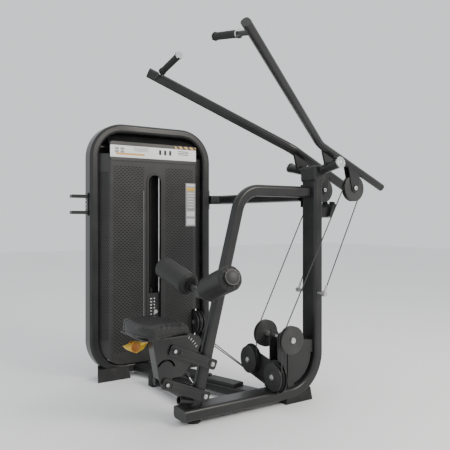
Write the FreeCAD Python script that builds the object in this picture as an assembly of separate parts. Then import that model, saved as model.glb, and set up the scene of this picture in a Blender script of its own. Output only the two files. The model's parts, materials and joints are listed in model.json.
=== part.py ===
"""Diverging lat pulldown machine with a weight stack tower.

Frame: origin on the floor under the front foot of the base tube, +X from the
seat end towards the post, +Y from the post towards the weight tower, +Z up.
The base tube, the post and the seat stand on the plane Y = 0, and the two press
arms mirror each other across it.  All sizes are in millimetres.
"""
import FreeCAD, Part
import math
import os

from FreeCAD import Vector

os.makedirs("parts", exist_ok=True)

# ---------------------------------------------------------------- driving sizes
FLOOR_GAP = 22.0            # underside of the base tube above the floor
WALL = 3.0                  # wall of every steel tube
SHEET = 4.0                 # pressed sheet brackets and plates
TOUCH = 0.4                 # working gap between parts that move past each other
RUNNING = 0.05              # radial clearance of a shaft in its bore
PLUG_GAP = 0.2              # plastic plug inside its tube

MAIN_W, MAIN_H, MAIN_R = 115.0, 58.0, 18.0      # base and post tube section
BASE_FRONT_X = -69.0        # cut end of the base tube
POST_X = 748.0              # centre plane of the post
POST_TOP = 1190.0           # cut end of the post
BEND_R = 198.0              # centre line radius of the base to post bend

COLUMN_W, COLUMN_H, COLUMN_R = 45.0, 60.0, 18.0  # seat column tube section
COLUMN_FOOT_X = 10.0        # column centre where it meets the base tube
COLUMN_LEAN = 14.5          # degrees off vertical, towards the post
COLUMN_TOP_Z = 1112.0       # centre height of the level run to the post
COLUMN_BEND_R = 130.0

TOWER_X = 214.0             # centre of the weight tower along X
TOWER_Y = 935.0             # centre of the weight tower along Y
TOWER_W = 826.0             # outer width of the tower loop
TOWER_TOP = 1546.0          # top of the tower loop
TOWER_TUBE, TOWER_DEPTH, TOWER_R = 54.0, 104.0, 16.0
TOWER_CORNER_R = 212.0      # outer corner radius of the tower loop

SHROUD_GAP = 4.0            # shroud edge to the inside of the loop
SHROUD_CHAMFER_X = 64.0
SHROUD_CHAMFER_Y = 45.0
SHROUD_FLANGE = 6.0         # turned edge on each slanting side
SHROUD_PROUD = 10.0         # the front shroud stands this far out of the loop
SHROUD_SIDE_TOP = 1360.0    # top of its slanting sides
SHROUD_T = 3.0
SHROUD_TOP = 1420.0
SLOT_W = 84.0               # window in the front shroud
SLOT_BOTTOM = 150.0
SLOT_TOP = 1240.0

PLATE_COUNT = 16            # weight plates under the head plate
LIFTED_COUNT = 5            # plates that the selector pin picks up
PLATE_T, PLATE_W, PLATE_D = 19.0, 300.0, 84.0
PLATE_GAP = 0.5
STACK_BOTTOM = 160.0        # underside of the lowest plate
GUIDE_SPACING = 120.0       # between the two guide rods
GUIDE_R = 11.0
STEM_R = 12.0
PIN_R = 5.0

PULLEY_R = 72.0             # flange radius of a cable pulley
PULLEY_PITCH = 62.0         # radius of the cable's centre line on a pulley
PULLEY_W = 24.0
TOP_PULLEY_R = 52.0
TOP_PULLEY_PITCH = 45.0
AXLE_R = 8.0
CABLE_R = 3.0
GROOVE_GAP = 0.6            # cable to groove
CABLE_WAY = 4.0             # clear space around the cable where it passes a plate

GUIDE_X, GUIDE_Z = 510.0, 348.0         # shared axle of the two upper guide pulleys
GUIDE_Y = 108.0                         # their centre planes, each side of Y = 0
LOW_LEFT_Z, LOW_RIGHT_Z = 200.0, 155.0  # lower guide pulleys, cable of the left and right arm
TOWER_PULLEY_X, TOWER_PULLEY_Y, TOWER_PULLEY_Z = 515.0, 872.0, 288.0
TOWER_PULLEY_SPREAD = 14.0              # half the distance between the twin wheels

PIVOT_TILT = 12.0           # the arm axes rise outwards by this many degrees
PIVOT_X = 763.0
PIVOT_END_Y, PIVOT_END_Z = 198.0, 1260.0     # outer end of the pivot sleeve
PIVOT_ROOT_Y = 70.0         # inner end of the pivot sleeve
SLEEVE_R = 26.0
SHAFT_R = 15.0
DISC_R = 30.0

ARM_W, ARM_H = 56.0, 40.0   # flat oval arm tube
ARM_ROLL = 46.0             # degrees the wide side is rolled at the handle end
ARM_END = (-18.0, 462.0, 1762.0)
ARM_KNEE = (701.0, 114.0, 1358.0)
ARM_TAIL = (1147.0, 128.0, 1148.0)
ARM_BEND_R = 150.0
ARM_PULLEY_X, ARM_PULLEY_Y, ARM_PULLEY_Z = 934.0, 122.0, 1134.0
HANDLE_X, HANDLE_Y, HANDLE_Z = 13.0, 366.0, 1749.0      # inner face of the handle collar
HANDLE_LENGTH = 200.0
GRIP_R = 17.0
COLLAR_R = 20.0

SEAT_TOP = 505.0
SEAT_T = 58.0
SEAT_DROP = 27.0            # the seat top falls this much towards its front edge
LINK_LENGTH_X, LINK_RISE = 201.0, 87.0       # from the column pin to the seat pin
LINK_UPPER = (79.0, 273.0)                   # column pin of the upper link, X and Z
LINK_LOWER = (40.0, 125.0)
LINK_H, LINK_T = 50.0, 12.0
LINK_PIN_R = 8.0

ROLLER_R = 62.0
ROLLER_IN = (27.0, 86.0, 639.0)
ROLLER_OUT = (1.0, 325.0, 716.0)
ROLLER_SHAFT_R = 14.0


# ---------------------------------------------------------------- shape helpers
def vec(point):
    return Vector(*point)


def mirror_y(shape):
    return shape.mirror(Vector(0, 0, 0), Vector(0, 1, 0))


def export(node, shapes):
    """Write one node: a single solid, or a group of separate solids."""
    solids = shapes if isinstance(shapes, list) else [shapes]
    body = solids[0] if len(solids) == 1 else Part.makeCompound(solids)
    body.exportStep("parts/%s.step" % node)


def box(x0, x1, y0, y1, z0, z1):
    return Part.makeBox(x1 - x0, y1 - y0, z1 - z0, Vector(x0, y0, z0))


def rod(start, end, radius):
    """Cylinder from one point to another."""
    start, end = vec(start), vec(end)
    return Part.makeCylinder(radius, (end - start).Length, start, end - start)


def ring(start, end, radius, bore):
    return rod(start, end, radius).cut(rod(start, end, bore))


def slab(points, direction, thickness):
    """Polygon pushed along a direction."""
    corners = [vec(p) for p in points]
    face = Part.Face(Part.makePolygon(corners + [corners[0]]))
    push = vec(direction).normalize() * thickness
    return face.extrude(push)


def route(points, radii):
    """Straight runs joined by tangent arcs, as one wire."""
    points = [vec(p) for p in points]
    edges = []
    last = points[0]
    for i in range(1, len(points) - 1):
        corner = points[i]
        back = (points[i - 1] - corner).normalize()
        ahead = (points[i + 1] - corner).normalize()
        turn = math.pi - back.getAngle(ahead)
        cut = radii[i - 1] * math.tan(turn / 2)
        first, second = corner + back * cut, corner + ahead * cut
        bisector = (back + ahead).normalize()
        centre = corner + bisector * (radii[i - 1] / math.cos(turn / 2))
        middle = centre - bisector * radii[i - 1]
        edges.append(Part.LineSegment(last, first).toShape())
        edges.append(Part.Arc(first, middle, second).toShape())
        last = second
    edges.append(Part.LineSegment(last, points[-1]).toShape())
    return Part.Wire(edges)


def section(centre, normal, wide, width, height, radius):
    """Rounded rectangle across a direction; width lies along wide."""
    centre, normal = vec(centre), vec(normal).normalize()
    u = vec(wide)
    u = (u - normal * u.dot(normal)).normalize()
    v = normal.cross(u)
    a, b = width / 2 - radius, height / 2 - radius
    diagonal = radius * math.sqrt(0.5)
    edges = []
    corners = [(a, b, 1, 1), (-a, b, -1, 1), (-a, -b, -1, -1), (a, -b, 1, -1)]
    ends = []
    for x, y, sx, sy in corners:
        side = centre + u * (x + sx * radius) + v * y
        top = centre + u * x + v * (y + sy * radius)
        mid = centre + u * (x + sx * diagonal) + v * (y + sy * diagonal)
        first, second = (side, top) if sx == sy else (top, side)
        edges.append(Part.Arc(first, mid, second).toShape())
        ends.append((first, second))
    for i in range(4):
        start, stop = ends[i][1], ends[(i + 1) % 4][0]
        if (stop - start).Length > 0.01:
            edges.append(Part.LineSegment(start, stop).toShape())
    return Part.Wire(Part.__sortEdges__(edges))


def sweep(points, radii, wide, width, height, radius):
    path = route(points, radii)
    direction = vec(points[1]) - vec(points[0])
    profile = section(points[0], direction, wide, width, height, radius)
    return path.makePipeShell([profile], True, False)


def tube(points, radii, wide, width, height, radius):
    """Hollow steel tube, open at both ends."""
    outer = sweep(points, radii, wide, width, height, radius)
    inner = sweep(points, radii, wide, width - 2 * WALL, height - 2 * WALL, radius - WALL)
    return outer.cut(inner)


def bar(start, end, wide, width, height, radius):
    """Straight solid of rounded section, such as a plug."""
    direction = vec(end) - vec(start)
    profile = section(start, direction, wide, width, height, radius)
    return Part.Face(profile).extrude(direction)


def plug(face, inward, wide, width, height, radius, lip=4.0, depth=25.0):
    """Plastic plug: a lip over the cut end of a tube and a body inside it."""
    face, inward = vec(face), vec(inward).normalize()
    lip_body = bar(tuple(face - inward * lip), tuple(face), wide, width, height, radius)
    gap = WALL + PLUG_GAP
    core = bar(tuple(face), tuple(face + inward * depth), wide,
               width - 2 * gap, height - 2 * gap, radius - gap)
    return lip_body.fuse(core).removeSplitter()


def pulley(centre, axis, flange=PULLEY_R, pitch=PULLEY_PITCH, width=PULLEY_W):
    """Grooved cable wheel turned about its axis."""
    half = width / 2
    floor = pitch - CABLE_R - GROOVE_GAP
    bore = AXLE_R + RUNNING
    throat = CABLE_R + GROOVE_GAP
    rim = 4.0
    outline = [(bore, -half), (flange, -half), (flange, rim - half), (floor, -throat),
               (floor, throat), (flange, half - rim), (flange, half), (bore, half)]
    points = [Vector(r, 0, z) for r, z in outline]
    face = Part.Face(Part.makePolygon(points + [points[0]]))
    wheel = face.revolve(Vector(0, 0, 0), Vector(0, 0, 1), 360)
    turn = FreeCAD.Rotation(Vector(0, 0, 1), vec(axis))
    wheel.Placement = FreeCAD.Placement(vec(centre), turn)
    return wheel


def axle_bolt(start, end, head=15.0, cap=6.0):
    """Axle bolt with a round head at each end."""
    start, end = vec(start), vec(end)
    along = (end - start).normalize()
    body = rod(tuple(start), tuple(end), AXLE_R)
    near = rod(tuple(start - along * cap), tuple(start), head)
    far = rod(tuple(end), tuple(end + along * cap), head)
    return body.fuse(near).fuse(far).removeSplitter()


# ---------------------------------------------------------------- base and post
BASE_Z = FLOOR_GAP + MAIN_H / 2
BASE_TOP = FLOOR_GAP + MAIN_H
POST_FRONT = POST_X - MAIN_H / 2        # face of the post towards the seat
POST_BACK = POST_X + MAIN_H / 2
POST_SIDE = MAIN_W / 2
MAIN_LINE = [(BASE_FRONT_X, 0, BASE_Z), (POST_X, 0, BASE_Z), (POST_X, 0, POST_TOP)]


def make_main_frame():
    shape = tube(MAIN_LINE, [BEND_R], (0, 1, 0), MAIN_W, MAIN_H, MAIN_R)
    export("main_frame_tube", shape)


def make_end_plugs():
    base = plug((BASE_FRONT_X, 0, BASE_Z), (1, 0, 0), (0, 1, 0), MAIN_W, MAIN_H, MAIN_R, 8.0)
    export("base_end_plug", base)


FOOT_R = 33.0


def make_front_foot():
    pad_t = 14.0
    pad = Part.makeCylinder(FOOT_R, pad_t, Vector(0, 0, 0), Vector(0, 0, 1))
    pad = pad.makeChamfer(3.0, [pad.Edges[0]])
    neck = Part.makeCylinder(12.0, FLOOR_GAP - pad_t, Vector(0, 0, pad_t), Vector(0, 0, 1))
    export("base_front_foot", pad.fuse(neck).removeSplitter())


def wedge(x0, x1, half, y, height, slope):
    """Foot block with sloping ends, its length along X."""
    points = [(x0, y - half, 0), (x1, y - half, 0), (x1 - slope, y - half, height),
              (x0 + slope, y - half, height)]
    return slab(points, (0, 1, 0), 2 * half)


def make_wedge_feet():
    solid_post = sweep(MAIN_LINE, [BEND_R], (0, 1, 0), MAIN_W, MAIN_H, MAIN_R)
    under_bend = wedge(520, 700, POST_SIDE - 2, 0, 68.0, 14.0).cut(solid_post)
    feet = [max(under_bend.Solids, key=lambda s: s.Volume)]
    loop = tower_loop_outer()
    toe, heel = TOWER_Y - TOWER_DEPTH / 2 - 46, TOWER_Y + TOWER_DEPTH / 2 + 12
    for side in (-1, 1):
        outer = TOWER_X + side * (TOWER_W / 2 - 30)
        inner = outer - side * 205
        plan = [(outer, toe), (inner, toe), (inner - side * 12, heel), (outer - side * 56, heel)]
        foot = slab([(x, y, 0) for x, y in plan], (0, 0, 1), 66.0)
        front = slab([(outer + side * 5, toe - 1, 68), (outer + side * 5, toe - 1, 0.0),
                      (outer + side * 5, toe + 40, 68)], (-side, 0, 0), 300.0)
        foot = foot.cut(front).cut(loop)
        feet.append(max(foot.Solids, key=lambda s: s.Volume))
    export("wedge_feet", feet)


# ---------------------------------------------------------------- seat column
LEAN = math.tan(math.radians(COLUMN_LEAN))


def column_x(z):
    """Centre of the leaning column at a height."""
    return COLUMN_FOOT_X + (z - BASE_TOP) * LEAN


def make_seat_column():
    corner = (column_x(COLUMN_TOP_Z), 0, COLUMN_TOP_Z)
    start_z = BASE_TOP - 30
    points = [(column_x(start_z), 0, start_z), corner, (POST_X, 0, COLUMN_TOP_Z)]
    shape = tube(points, [COLUMN_BEND_R], (0, 1, 0), COLUMN_W, COLUMN_H, COLUMN_R)
    keep = box(-200, POST_FRONT, -100, 100, BASE_TOP, 1300)
    shape = shape.common(keep)
    for x, z in (LINK_UPPER, LINK_LOWER):
        shape = shape.cut(rod((x, -100, z), (x, 100, z), LINK_PIN_R))
    z = 112.0
    x = column_x(z) - 20
    stub = ring((x - 78, 0, z + 6), (x, 0, z - 14), 20.0, 20.0 - WALL)
    solid_column = sweep([(column_x(0), 0, 0), (column_x(400), 0, 400)], [], (0, 1, 0),
                         COLUMN_W, COLUMN_H, COLUMN_R)
    stub = stub.cut(solid_column)
    stub = max(stub.Solids, key=lambda s: s.Volume)
    export("seat_column", shape.fuse(stub).removeSplitter())


# ---------------------------------------------------------------- stabiliser and crossbeams
STAB_X, STAB_W, STAB_H = 95.0, 56.0, 44.0
STAB_END_Y = 636.0
STAB_Z = FLOOR_GAP + STAB_H / 2


def make_stabiliser():
    start, end = (STAB_X, POST_SIDE, STAB_Z), (STAB_X, STAB_END_Y, STAB_Z)
    shape = tube([start, end], [], (1, 0, 0), STAB_W, STAB_H, 14.0)
    export("stabiliser_leg", shape)
    over = 4.0
    height = STAB_Z + STAB_H / 2 + over
    half = STAB_W / 2 + over
    cap = box(STAB_X - half, STAB_X + half, STAB_END_Y - 46, STAB_END_Y + 22, 0, height)
    upright = [e for e in cap.Edges if abs(e.tangentAt(0).z) > 0.9]
    cap = cap.makeFillet(18.0, upright)
    inside = bar((STAB_X, STAB_END_Y - 60, STAB_Z), (STAB_X, STAB_END_Y, STAB_Z), (1, 0, 0),
                 STAB_W, STAB_H, 14.0)
    export("stabiliser_foot", cap.cut(inside))


LOW_BEAM_START = (397.0, POST_SIDE - 6, FLOOR_GAP + 25)
LOW_BEAM_END = (124.0, TOWER_Y - TOWER_DEPTH / 2 + 8, FLOOR_GAP + 25)
LOW_BEAM_W, LOW_BEAM_H = 96.0, 50.0


def make_lower_crossbeam():
    along = (vec(LOW_BEAM_END) - vec(LOW_BEAM_START)).normalize()
    wide = tuple(along.cross(Vector(0, 0, 1)))
    solid_base = sweep(MAIN_LINE, [BEND_R], (0, 1, 0), MAIN_W, MAIN_H, MAIN_R)
    beam = tube([LOW_BEAM_START, LOW_BEAM_END], [], wide, LOW_BEAM_W, LOW_BEAM_H, 15.0)
    beam = beam.cut(solid_base).cut(tower_loop_outer())
    export("lower_crossbeam", max(beam.Solids, key=lambda s: s.Volume))
    covers = []
    top = LOW_BEAM_START[2] + LOW_BEAM_H / 2
    side = vec(wide)
    length = (vec(LOW_BEAM_END) - vec(LOW_BEAM_START)).Length
    for i, (a, b, lift) in enumerate(((0.12, 0.36, 16.0), (0.37, 0.61, 22.0), (0.62, 0.86, 16.0))):
        start = vec(LOW_BEAM_START) + along * (length * a)
        stop = vec(LOW_BEAM_START) + along * (length * b)
        half = 40.0
        points = [start - side * half, stop - side * half, stop + side * half, start + side * half]
        flat = [(p.x, p.y, top) for p in points]
        cover = slab(flat, (0, 0, 1), lift)
        upper = [e for e in cover.Edges if e.BoundBox.ZMin > top + lift - 0.1]
        covers.append(cover.makeChamfer(5.0, upper))
    export("cable_covers", covers)


UP_BEAM_Z = 1093.0
UP_BEAM_W, UP_BEAM_H = 90.0, 58.0
TOWER_RIGHT = TOWER_X + TOWER_W / 2


def make_upper_crossbeam():
    flange_t = 8.0
    start = (POST_X, POST_SIDE + flange_t, UP_BEAM_Z)
    end = (TOWER_RIGHT + flange_t, TOWER_Y, UP_BEAM_Z)
    middle = (POST_X - 22, TOWER_Y - 60, UP_BEAM_Z)
    points = [start, middle, end]
    beam = tube(points, [70.0], (1, 0, 0), UP_BEAM_W, UP_BEAM_H, 17.0)
    beam = beam.common(box(TOWER_RIGHT + flange_t, 1200, POST_SIDE + flange_t, 1200, 900, 1300))
    post_flange = box(POST_X - 28, POST_X + 28, POST_SIDE, POST_SIDE + flange_t,
                      UP_BEAM_Z - 62, UP_BEAM_Z + 62)
    tower_flange = box(TOWER_RIGHT, TOWER_RIGHT + flange_t, TOWER_Y - 34, TOWER_Y + 34,
                       UP_BEAM_Z - 62, UP_BEAM_Z + 62)
    export("upper_crossbeam", [beam.fuse(post_flange).fuse(tower_flange).removeSplitter()])


def hex_bolt(seat, outward, across=9.0, head=7.0):
    """Bolt head with a washer, standing on a face."""
    seat, outward = vec(seat), vec(outward).normalize()
    washer = rod(tuple(seat), tuple(seat + outward * 2), across * 1.35)
    cap = rod(tuple(seat + outward * 2), tuple(seat + outward * (2 + head)), across)
    return washer.fuse(cap).removeSplitter()


def make_frame_bolts():
    bolts = []
    for dz in (-47.0, 47.0):
        bolts.append(hex_bolt((POST_X, POST_SIDE + 8, UP_BEAM_Z + dz), (0, 1, 0)))
        bolts.append(hex_bolt((TOWER_RIGHT + 8, TOWER_Y, UP_BEAM_Z + dz), (1, 0, 0)))
    reach = LINK_Y + LINK_T + TOUCH
    for x, z in (LINK_UPPER, LINK_LOWER):
        pin = rod((x, -reach, z), (x, reach, z), LINK_PIN_R)
        for side in (-1, 1):
            pin = pin.fuse(rod((x, side * reach, z), (x, side * (reach + 5), z), 11.0))
            pin = pin.fuse(rod((x, side * COLUMN_W / 2, z), (x, side * (LINK_Y - TOUCH), z), 14.0))
        bolts.append(pin.removeSplitter())
    export("frame_bolts", bolts)


# ---------------------------------------------------------------- post top, gusset, stops
def pivot_point(y):
    """Point on the right arm's pivot axis at a distance from the centre plane."""
    z = PIVOT_END_Z - (PIVOT_END_Y - y) * math.tan(math.radians(PIVOT_TILT))
    return (PIVOT_X, -y, z)


PIVOT_AXIS = (0, -math.cos(math.radians(PIVOT_TILT)), math.sin(math.radians(PIVOT_TILT)))


def make_post_top():
    top = pivot_point(PIVOT_ROOT_Y)[2] + 22
    half_x = MAIN_H / 2 + 5
    half_y = PIVOT_ROOT_Y - 7
    shell = box(POST_X - half_x, POST_X + half_x + 12, -half_y, half_y, POST_TOP - 22, top)
    shell = shell.makeFillet(14.0, shell.Edges)
    post = bar((POST_X, 0, POST_TOP - 60), (POST_X, 0, POST_TOP), (0, 1, 0), MAIN_W, MAIN_H, MAIN_R)
    for sign in (1, -1):
        near, far = pivot_point(0), pivot_point(120)
        shaft = rod((near[0], sign * near[1], near[2]), (far[0], sign * far[1], far[2]),
                    SHAFT_R)
        shell = shell.cut(shaft)
    export("post_top_shroud", shell.cut(post))


def make_pivot_shafts():
    shafts = []
    for sign in (1, -1):
        root, end = pivot_point(2), pivot_point(PIVOT_END_Y)
        axis = Vector(PIVOT_AXIS[0], sign * PIVOT_AXIS[1], PIVOT_AXIS[2])
        root = Vector(root[0], sign * root[1], root[2])
        end = Vector(end[0], sign * end[1], end[2])
        shaft = rod(tuple(root), tuple(end + axis * TOUCH), SHAFT_R)
        disc = rod(tuple(end + axis * TOUCH), tuple(end + axis * (TOUCH + 6)), DISC_R)
        boss = rod(tuple(end + axis * (TOUCH + 6)), tuple(end + axis * (TOUCH + 9)), 9.0)
        shafts.append(shaft.fuse(disc).fuse(boss).removeSplitter())
    half = shafts[0].cut(box(0, 2000, 0, 400, 0, 2000))
    other = shafts[1].cut(box(0, 2000, -400, 0, 0, 2000))
    export("pivot_shafts", [half, other])


GUSSET_LEFT, GUSSET_TOP, GUSSET_TAB = 546.0, 336.0, 248.0
GUSSET_HALF = 37.0


def make_gusset():
    """Plate in the corner of the base and the post, clear of the bend."""
    centre = Vector(POST_X - BEND_R, 0, BASE_Z + BEND_R)
    radius = BEND_R - MAIN_H / 2 - 16
    right = centre.x + radius
    angle = math.radians(-76)
    start = Vector(right, 0, centre.z)
    middle = centre + Vector(math.cos(angle / 2), 0, math.sin(angle / 2)) * radius
    stop = centre + Vector(math.cos(angle), 0, math.sin(angle)) * radius
    points = [Vector(GUSSET_LEFT, 0, GUSSET_TOP), Vector(POST_X, 0, GUSSET_TOP - 26),
              Vector(POST_X, 0, GUSSET_TAB), Vector(right, 0, GUSSET_TAB), start]
    edges = [Part.LineSegment(a, b).toShape() for a, b in zip(points, points[1:])
             if (b - a).Length > 0.1]
    edges.append(Part.Arc(start, middle, stop).toShape())
    low, foot = Vector(GUSSET_LEFT, 0, BASE_Z), Vector(stop.x, 0, BASE_Z)
    edges.append(Part.LineSegment(stop, foot).toShape())
    edges.append(Part.LineSegment(foot, low).toShape())
    edges.append(Part.LineSegment(low, points[0]).toShape())
    face = Part.Face(Part.Wire(edges))
    face.translate(Vector(0, -GUSSET_HALF, 0))
    plate = face.extrude(Vector(0, 2 * GUSSET_HALF, 0))
    plate = plate.cut(sweep(MAIN_LINE, [BEND_R], (0, 1, 0), MAIN_W, MAIN_H, MAIN_R))
    export("bend_gusset", max(plate.Solids, key=lambda s: s.Volume))


STOP_Z = 1000.0


def make_arm_stop():
    """Bracket on the back of the post that the arm tails come to rest on."""
    back = POST_BACK
    web = box(back, back + 72, -26, 26, STOP_Z - 24, STOP_Z + 30)
    half = 46.0
    head = slab([(back + 56, -half, STOP_Z - 20), (back + 74, -half, STOP_Z - 28),
                 (back + 104, -half, STOP_Z + 40), (back + 104, -half, STOP_Z + 50),
                 (back + 84, -half, STOP_Z + 50)], (0, 1, 0), 2 * half)
    export("arm_stop_bracket", web.fuse(head).removeSplitter())


def make_cable_anchors():
    """Pins on the post's sides that hold the fixed ends of the arm cables."""
    anchors = []
    for sign in (-1, 1):
        x, z = ANCHOR[0], ANCHOR[2]
        y = ANCHOR[1]
        bolt = rod((x, sign * POST_SIDE, z), (x, sign * (y + 12), z), 7.0)
        eye = ring((x, sign * (y - 9), z), (x, sign * (y + 9), z), 14.0, 7.0)
        socket = vec((x, sign * y, z)) + vec(anchor_direction(sign)) * 12
        tip = vec((x, sign * y, z)) + vec(anchor_direction(sign)) * ANCHOR_SOCKET
        sleeve = rod(tuple(socket), tuple(tip), 6.5)
        anchors.append(bolt.fuse(eye).fuse(sleeve).removeSplitter())
    export("cable_anchors", anchors)


# ---------------------------------------------------------------- cables
ANCHOR = (738.0, 104.0, 567.0)
ANCHOR_SOCKET = 46.0
GUIDE_LINE_X = GUIDE_X - PULLEY_PITCH       # plane of the lower guide pulleys
YOKE_Z = 860.0
LOW_Y = {-1: -GUIDE_Y + PULLEY_PITCH, 1: GUIDE_Y + PULLEY_PITCH}
LOW_Z = {-1: LOW_RIGHT_Z, 1: LOW_LEFT_Z}


def tangent_points(c1, c2, radius, side):
    """Outer tangent of two equal circles in a plane, on one side of their line."""
    dx, dz = c2[0] - c1[0], c2[1] - c1[1]
    length = math.hypot(dx, dz)
    nx, nz = -dz / length * side * radius, dx / length * side * radius
    return (c1[0] + nx, c1[1] + nz), (c2[0] + nx, c2[1] + nz)


def point_tangent(point, centre, radius, side):
    """Where the line from a point touches a circle."""
    dx, dz = centre[0] - point[0], centre[1] - point[1]
    dist = math.hypot(dx, dz)
    angle = math.atan2(dz, dx) + side * math.asin(radius / dist)
    run = math.sqrt(dist * dist - radius * radius)
    return (point[0] + run * math.cos(angle), point[1] + run * math.sin(angle))


def anchor_direction(sign):
    touch = point_tangent((ANCHOR[0], ANCHOR[2]), (ARM_PULLEY_X, ARM_PULLEY_Z), PULLEY_PITCH, -1)
    line = Vector(touch[0] - ANCHOR[0], sign * (ARM_PULLEY_Y - ANCHOR[1]), touch[1] - ANCHOR[2])
    return tuple(line.normalize())


def round_wheel(centre, start, end, turn):
    """Arc edge on a wheel: start and end lie on it, turn points to its middle."""
    radius = (start - centre).Length
    middle = centre + turn.normalize() * radius
    return Part.Arc(start, middle, end).toShape()


TOWER_RUN = 6               # the run from a lower guide to the tower, in an arm cable's edges
YOKE_HALF = 20.0            # half the height of the yoke block


def arm_cable(sign):
    """From the post anchor over the arm pulley and the guides to the yoke."""
    y0, y1, y2 = sign * ANCHOR[1], sign * ARM_PULLEY_Y, sign * GUIDE_Y
    begin = Vector(ANCHOR[0], y0, ANCHOR[2]) + vec(anchor_direction(sign)) * ANCHOR_SOCKET
    arm = (ARM_PULLEY_X, ARM_PULLEY_Z)
    up = point_tangent((ANCHOR[0], ANCHOR[2]), arm, PULLEY_PITCH, -1)
    down_a, down_b = tangent_points((GUIDE_X, GUIDE_Z), arm, PULLEY_PITCH, 1)
    p_up = Vector(up[0], y1, up[1])
    p_off = Vector(down_b[0], y1, down_b[1])
    p_on = Vector(down_a[0], y2, down_a[1])
    centre_arm = Vector(ARM_PULLEY_X, y1, ARM_PULLEY_Z)
    centre_guide = Vector(GUIDE_X, y2, GUIDE_Z)
    p_leave = Vector(GUIDE_LINE_X, y2, GUIDE_Z)
    low_y, low_z = LOW_Y[sign], LOW_Z[sign]
    p_low = Vector(GUIDE_LINE_X, y2, low_z)
    centre_low = Vector(GUIDE_LINE_X, low_y, low_z)
    wheel_x = TOWER_PULLEY_X + sign * TOWER_PULLEY_SPREAD
    out_a, out_b = tangent_points((low_y, low_z), (TOWER_PULLEY_Y, TOWER_PULLEY_Z),
                                  PULLEY_PITCH, -1)
    p_run = Vector(GUIDE_LINE_X, out_a[0], out_a[1])
    p_tower = Vector(wheel_x, out_b[0], out_b[1])
    centre_tower = Vector(wheel_x, TOWER_PULLEY_Y, TOWER_PULLEY_Z)
    p_rise = Vector(wheel_x, TOWER_PULLEY_Y + PULLEY_PITCH, TOWER_PULLEY_Z)
    end = Vector(wheel_x, TOWER_PULLEY_Y + PULLEY_PITCH, YOKE_Z - YOKE_HALF - TOUCH)
    edges = [
        Part.LineSegment(begin, p_up).toShape(),
        round_wheel(centre_arm, p_up, p_off, Vector(0, 0, 1)),
        Part.LineSegment(p_off, p_on).toShape(),
        round_wheel(centre_guide, p_on, p_leave, (p_on - centre_guide) + (p_leave - centre_guide)),
        Part.LineSegment(p_leave, p_low).toShape(),
        round_wheel(centre_low, p_low, p_run, (p_low - centre_low) + (p_run - centre_low)),
        Part.LineSegment(p_run, p_tower).toShape(),
        round_wheel(centre_tower, p_tower, p_rise,
                    (p_tower - centre_tower) + (p_rise - centre_tower)),
        Part.LineSegment(p_rise, end).toShape(),
    ]
    return edges


def cable_body(edges):
    """Round cord along runs and arcs that meet end to end."""
    path = Part.Wire(edges)
    start = edges[0].valueAt(edges[0].FirstParameter)
    direction = edges[0].tangentAt(edges[0].FirstParameter)
    circle = Part.Wire(Part.makeCircle(CABLE_R, start, direction))
    return path.makePipeShell([circle], True, False)


def make_cables():
    cables = []
    for sign in (-1, 1):
        edges = arm_cable(sign)
        length = sum(e.Length for e in edges)
        body = cable_body(edges)
        expected = math.pi * CABLE_R ** 2 * length
        print("arm cable %+d: %.0f mm, volume ratio %.3f, solids %d" %
              (sign, length, body.Volume / expected, len(body.Solids)))
        cables.append(body)
    export("arm_cables", cables)
    x_up = TOWER_PULLEY_X
    y = TOWER_PULLEY_Y + PULLEY_PITCH
    z = TOP_PULLEY_Z
    outer = Vector(x_up - TOP_PULLEY_PITCH, y, z)
    inner = Vector(TOWER_X + TOP_PULLEY_PITCH, y, z)
    lift = Vector(0, 0, TOP_PULLEY_PITCH)
    corner = TOP_PULLEY_PITCH
    edges = [
        Part.LineSegment(Vector(x_up, y, YOKE_Z + YOKE_HALF), Vector(x_up, y, z)).toShape(),
        round_wheel(outer, Vector(x_up, y, z), outer + lift, Vector(1, 0, 1)),
        Part.LineSegment(outer + lift, inner + lift).toShape(),
        round_wheel(inner, inner + lift, Vector(inner.x - corner, y, z), Vector(-1, 0, 1)),
        Part.LineSegment(Vector(TOWER_X, y, z), Vector(TOWER_X, y, HEAD_TOP + 30)).toShape(),
    ]
    length = sum(e.Length for e in edges)
    body = cable_body(edges)
    print("stack cable: %.0f mm, volume ratio %.3f, solids %d" %
          (length, body.Volume / (math.pi * CABLE_R ** 2 * length), len(body.Solids)))
    export("stack_cable", body)


# ---------------------------------------------------------------- pulleys and their mounts
TOP_PULLEY_Z = 1338.0
TAB_IN, TAB_OUT = 13.0, 17.0           # faces of the top pulley tabs from the wheel's middle
ROD_TOP = 1262.0                        # top of the guide rods
STACK_Y = TOWER_PULLEY_Y + PULLEY_PITCH


def make_pulleys():
    guides = [pulley((GUIDE_X, s * GUIDE_Y, GUIDE_Z), (0, 1, 0)) for s in (-1, 1)]
    export("upper_guide_pulleys", guides)
    for name, sign in (("right_guide_pulley", -1), ("left_guide_pulley", 1)):
        export(name, pulley((GUIDE_LINE_X, LOW_Y[sign], LOW_Z[sign]), (1, 0, 0)))
    twins = [pulley((TOWER_PULLEY_X + s * TOWER_PULLEY_SPREAD, TOWER_PULLEY_Y, TOWER_PULLEY_Z),
                    (1, 0, 0)) for s in (-1, 1)]
    export("tower_lower_pulleys", twins)
    tops = (("top_pulley_outer", TOWER_PULLEY_X - TOP_PULLEY_PITCH),
            ("top_pulley_inner", TOWER_X + TOP_PULLEY_PITCH))
    for name, x in tops:
        export(name, pulley((x, STACK_Y, TOP_PULLEY_Z), (0, 1, 0), TOP_PULLEY_R,
                            TOP_PULLEY_PITCH, 22.0))


PLATE_X = GUIDE_LINE_X + PULLEY_W / 2 + 4.0      # face of the plate behind the lower guides


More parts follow.
